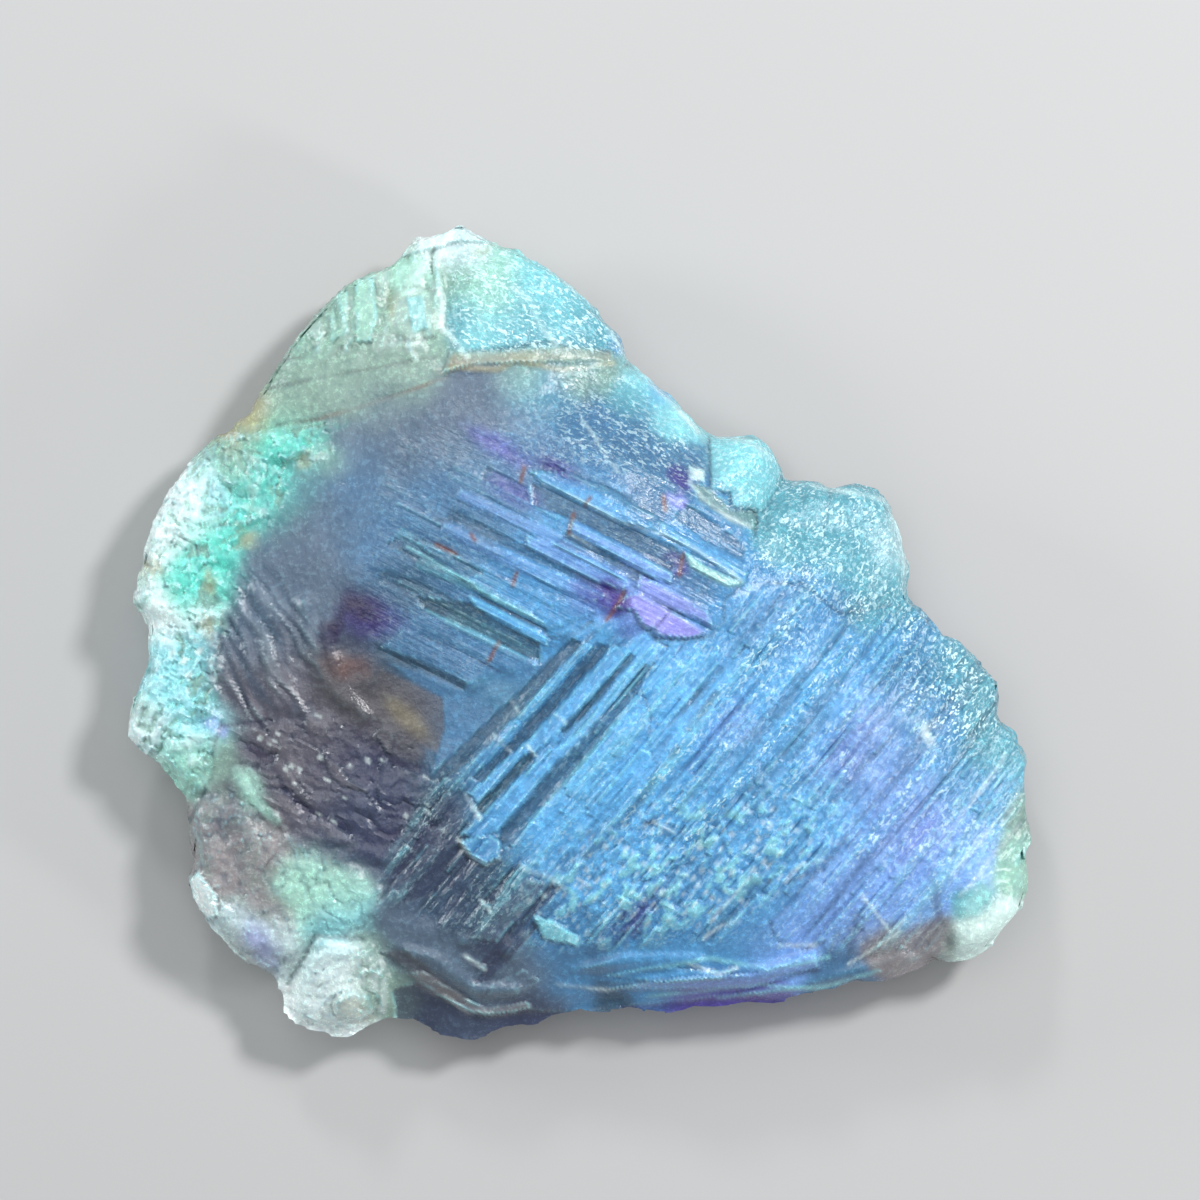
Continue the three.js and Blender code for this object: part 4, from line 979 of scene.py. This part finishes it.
class Nodes:
    """Short calls that add nodes to one material."""

    def __init__(self, tree):
        self.tree = tree
        self.place = self.add("ShaderNodeTexCoord").outputs["Object"]

    def add(self, kind, **values):
        node = self.tree.nodes.new(kind)
        for name, value in values.items():
            node.inputs[name.replace("_", " ")].default_value = value
        return node

    def link(self, source, socket):
        """Joins an output to a socket, or sets the socket to a plain value."""
        if isinstance(source, bpy.types.NodeSocket):
            self.tree.links.new(source, socket)
        else:
            socket.default_value = source

    def attribute(self, name, output="Fac"):
        node = self.add("ShaderNodeAttribute")
        node.attribute_name = name
        return node.outputs[output]

    def texture(self, kind, scale, vector=None, **values):
        node = self.add(kind, Scale=scale, **values)
        self.link(vector or self.place, node.inputs["Vector"])
        return node

    def stretched(self, turn, stretch):
        """Coordinates turned by an angle and drawn out along it."""
        rotate = self.add("ShaderNodeVectorRotate", Angle=-turn)
        self.link(self.place, rotate.inputs["Vector"])
        scale = self.add("ShaderNodeVectorMath")
        scale.operation = "MULTIPLY"
        scale.inputs[1].default_value = (1 / stretch, 1, 1)
        self.link(rotate.outputs["Vector"], scale.inputs[0])
        return scale.outputs["Vector"]

    def remap(self, value, low, high, to_low, to_high):
        node = self.add("ShaderNodeMapRange", From_Min=low, From_Max=high, To_Min=to_low, To_Max=to_high)
        node.interpolation_type = "SMOOTHSTEP"
        self.link(value, node.inputs["Value"])
        return node.outputs["Result"]

    def math(self, operation, first, second):
        node = self.add("ShaderNodeMath")
        node.operation = operation
        self.link(first, node.inputs[0])
        self.link(second, node.inputs[1])
        return node.outputs["Value"]

    def blend(self, kind, share, first, second):
        node = self.add("ShaderNodeMix")
        node.data_type = "RGBA"
        node.blend_type = kind
        factor, base, top = (node.inputs[i] for i in (0, 6, 7))
        self.link(share, factor)
        self.link(first, base)
        self.link(second, top)
        return node.outputs[2]

    def bump(self, height, strength, distance, normal=None):
        node = self.add("ShaderNodeBump", Distance=distance)
        self.link(height, node.inputs["Height"])
        self.link(strength, node.inputs["Strength"])
        if normal:
            self.link(normal, node.inputs["Normal"])
        return node.outputs["Normal"]


def striations(nodes, colour, turn, mask):
    """Fine lines along a direction: the colour with their dark lines, and their height."""
    place = nodes.stretched(turn, 14)
    streaks = nodes.texture("ShaderNodeTexNoise", 2600, place, Detail=2.0).outputs["Fac"]
    dark = nodes.math("MULTIPLY", nodes.remap(streaks, 0.3, 0.6, 0.55, 0.0), mask)
    return nodes.blend("MULTIPLY", dark, colour, STRIA_SHADE), streaks


def frost_grains(nodes, colour, turn, mask):
    """Bright ragged grains drawn out along a direction, painted as glints: the colour with them, and their
    height.
    """
    place = nodes.stretched(turn, 1.8)
    grains = nodes.texture("ShaderNodeTexNoise", 3100, place, Detail=2.0, Distortion=0.6).outputs["Fac"]
    spread = nodes.texture("ShaderNodeTexNoise", 500, Detail=2.0).outputs["Fac"]
    chance = nodes.math("MULTIPLY", mask, nodes.remap(spread, 0.35, 0.6, 0.35, 1.0))
    lit = nodes.math("MULTIPLY", nodes.remap(grains, 0.54, 0.61, 0.0, 0.9), chance)
    colour = nodes.blend("MULTIPLY", nodes.math("MULTIPLY", mask, 0.6), colour, FROST_GROUND)
    return nodes.blend("MIX", lit, colour, FROST_GLINT), grains


def mottled(nodes, colour, grain):
    """The colour, a little darker and lighter from grain to grain."""
    colour = nodes.blend("MULTIPLY", nodes.remap(grain, 0.3, 0.52, 0.4, 0.0), colour, GRAIN_SHADE)
    return nodes.blend("MULTIPLY", nodes.remap(grain, 0.5, 0.7, 0.0, 0.6), colour, GRAIN_LIGHT)


def crystal_material():
    material = bpy.data.materials.new("fluorite")
    material.use_nodes = True
    shader = material.node_tree.nodes["Principled BSDF"]
    output = material.node_tree.nodes["Material Output"]
    shader.inputs["IOR"].default_value = FLUORITE_IOR
    shader.inputs["Transmission Weight"].default_value = 0.2
    shader.inputs["Specular IOR Level"].default_value = 0.8
    nodes = Nodes(material.node_tree)
    masks = {name: nodes.attribute(name) for name in MASKS}

    colour = nodes.attribute("tint", "Color")
    colour, streaks_a = striations(nodes, colour, ALONG_A, nodes.math("MULTIPLY", masks["block"], 0.5))
    colour, streaks_b = striations(nodes, colour, ALONG_B, nodes.math("MULTIPLY", masks["field"], 0.6))
    grain = nodes.texture("ShaderNodeTexNoise", 1800, Detail=4.0, Roughness=0.65).outputs["Fac"]
    colour = mottled(nodes, colour, grain)
    colour, grains_a = frost_grains(nodes, colour, ALONG_A, masks["frost_a"])
    colour, grains_b = frost_grains(nodes, colour, ALONG_B, masks["frost_b"])
    nodes.link(colour, shader.inputs["Base Color"])
    nodes.link(nodes.remap(grain, 0.35, 0.65, 0.1, 0.3), shader.inputs["Roughness"])

    normal = nodes.bump(grain, 0.35, 0.0003)
    for height, name, strength, distance in (
        (streaks_a, "block", 0.4, 0.0003),
        (streaks_b, "field", 0.5, 0.0003),
        (grains_a, "frost_a", 0.8, 0.0002),
        (grains_b, "frost_b", 0.8, 0.0002),
    ):
        normal = nodes.bump(height, nodes.math("MULTIPLY", masks[name], strength), distance, normal)
    nodes.link(normal, shader.inputs["Normal"])

    clear = nodes.add("ShaderNodeVolumeAbsorption", Color=CLEAR_BLUE, Density=50)
    nodes.link(clear.outputs["Volume"], output.inputs["Volume"])
    return material


# Stage, lights and camera

def stage():
    size = 3.0
    mesh = bpy.data.meshes.new("floor")
    corners = [(-size, -size, 0), (size, -size, 0), (size, size, 0), (-size, size, 0)]
    mesh.from_pydata(corners, [], [(0, 1, 2, 3)])
    floor = mesh_object("floor", mesh)
    floor.location.z = -0.02 * MM
    material = bpy.data.materials.new("floor")
    material.use_nodes = True
    shader = material.node_tree.nodes["Principled BSDF"]
    shader.inputs["Base Color"].default_value = (0.42, 0.42, 0.42, 1)
    shader.inputs["Roughness"].default_value = 0.8
    mesh.materials.append(material)


def lamp(name, place, size, power, colour=(1, 1, 1)):
    light = bpy.data.lights.new(name, "AREA")
    light.shape = "DISK"
    light.size = size
    light.energy = power
    light.color = colour
    piece = bpy.data.objects.new(name, light)
    bpy.context.scene.collection.objects.link(piece)
    piece.location = place
    piece.rotation_euler = (-Vector(place)).to_track_quat("-Z", "Y").to_euler()


def lights():
    lamp("key", (0.30, 0.24, 0.42), 0.10, 2.6)
    lamp("side", (0.45, -0.2, 0.2), 0.08, 0.9)
    lamp("top", (-0.1, 0.45, 0.3), 0.08, 0.8)
    lamp("low_left", (-0.45, 0.12, 0.14), 0.12, 1.0, (0.92, 1, 1))
    lamp("soft", (-0.15, 0.2, 0.8), 0.7, 2.0)
    world = bpy.data.worlds.new("studio")
    bpy.context.scene.world = world
    world.use_nodes = True
    world.node_tree.nodes["Background"].inputs["Color"].default_value = (0.92, 0.96, 1, 1)
    world.node_tree.nodes["Background"].inputs["Strength"].default_value = 0.35


def camera():
    """Looks straight down on the face, with the photo's top up."""
    frame_width = 120 * MM
    middle = Vector((2.2, 3.35, 7)) * MM
    lens = bpy.data.cameras.new("camera")
    lens.lens = 180
    lens.sensor_width = 36
    piece = bpy.data.objects.new("camera", lens)
    bpy.context.scene.collection.objects.link(piece)
    piece.location = middle + Vector((0, 0, frame_width * lens.lens / lens.sensor_width))
    bpy.context.scene.camera = piece


face_a, face_b = face_grid()
face_x, face_y = to_face(face_a, face_b)
face_height = fine_heights(face_a, face_b, face_x, face_y)
crystal = fine_crystal(face_x, face_y, face_height)
paint_crystal(crystal, face_height)
crystal.data.materials.clear()
crystal.data.materials.append(crystal_material())
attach(crystal, "root")
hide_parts(NODE)
stage()
lights()
camera()
bpy.context.scene.view_settings.view_transform = "Standard"
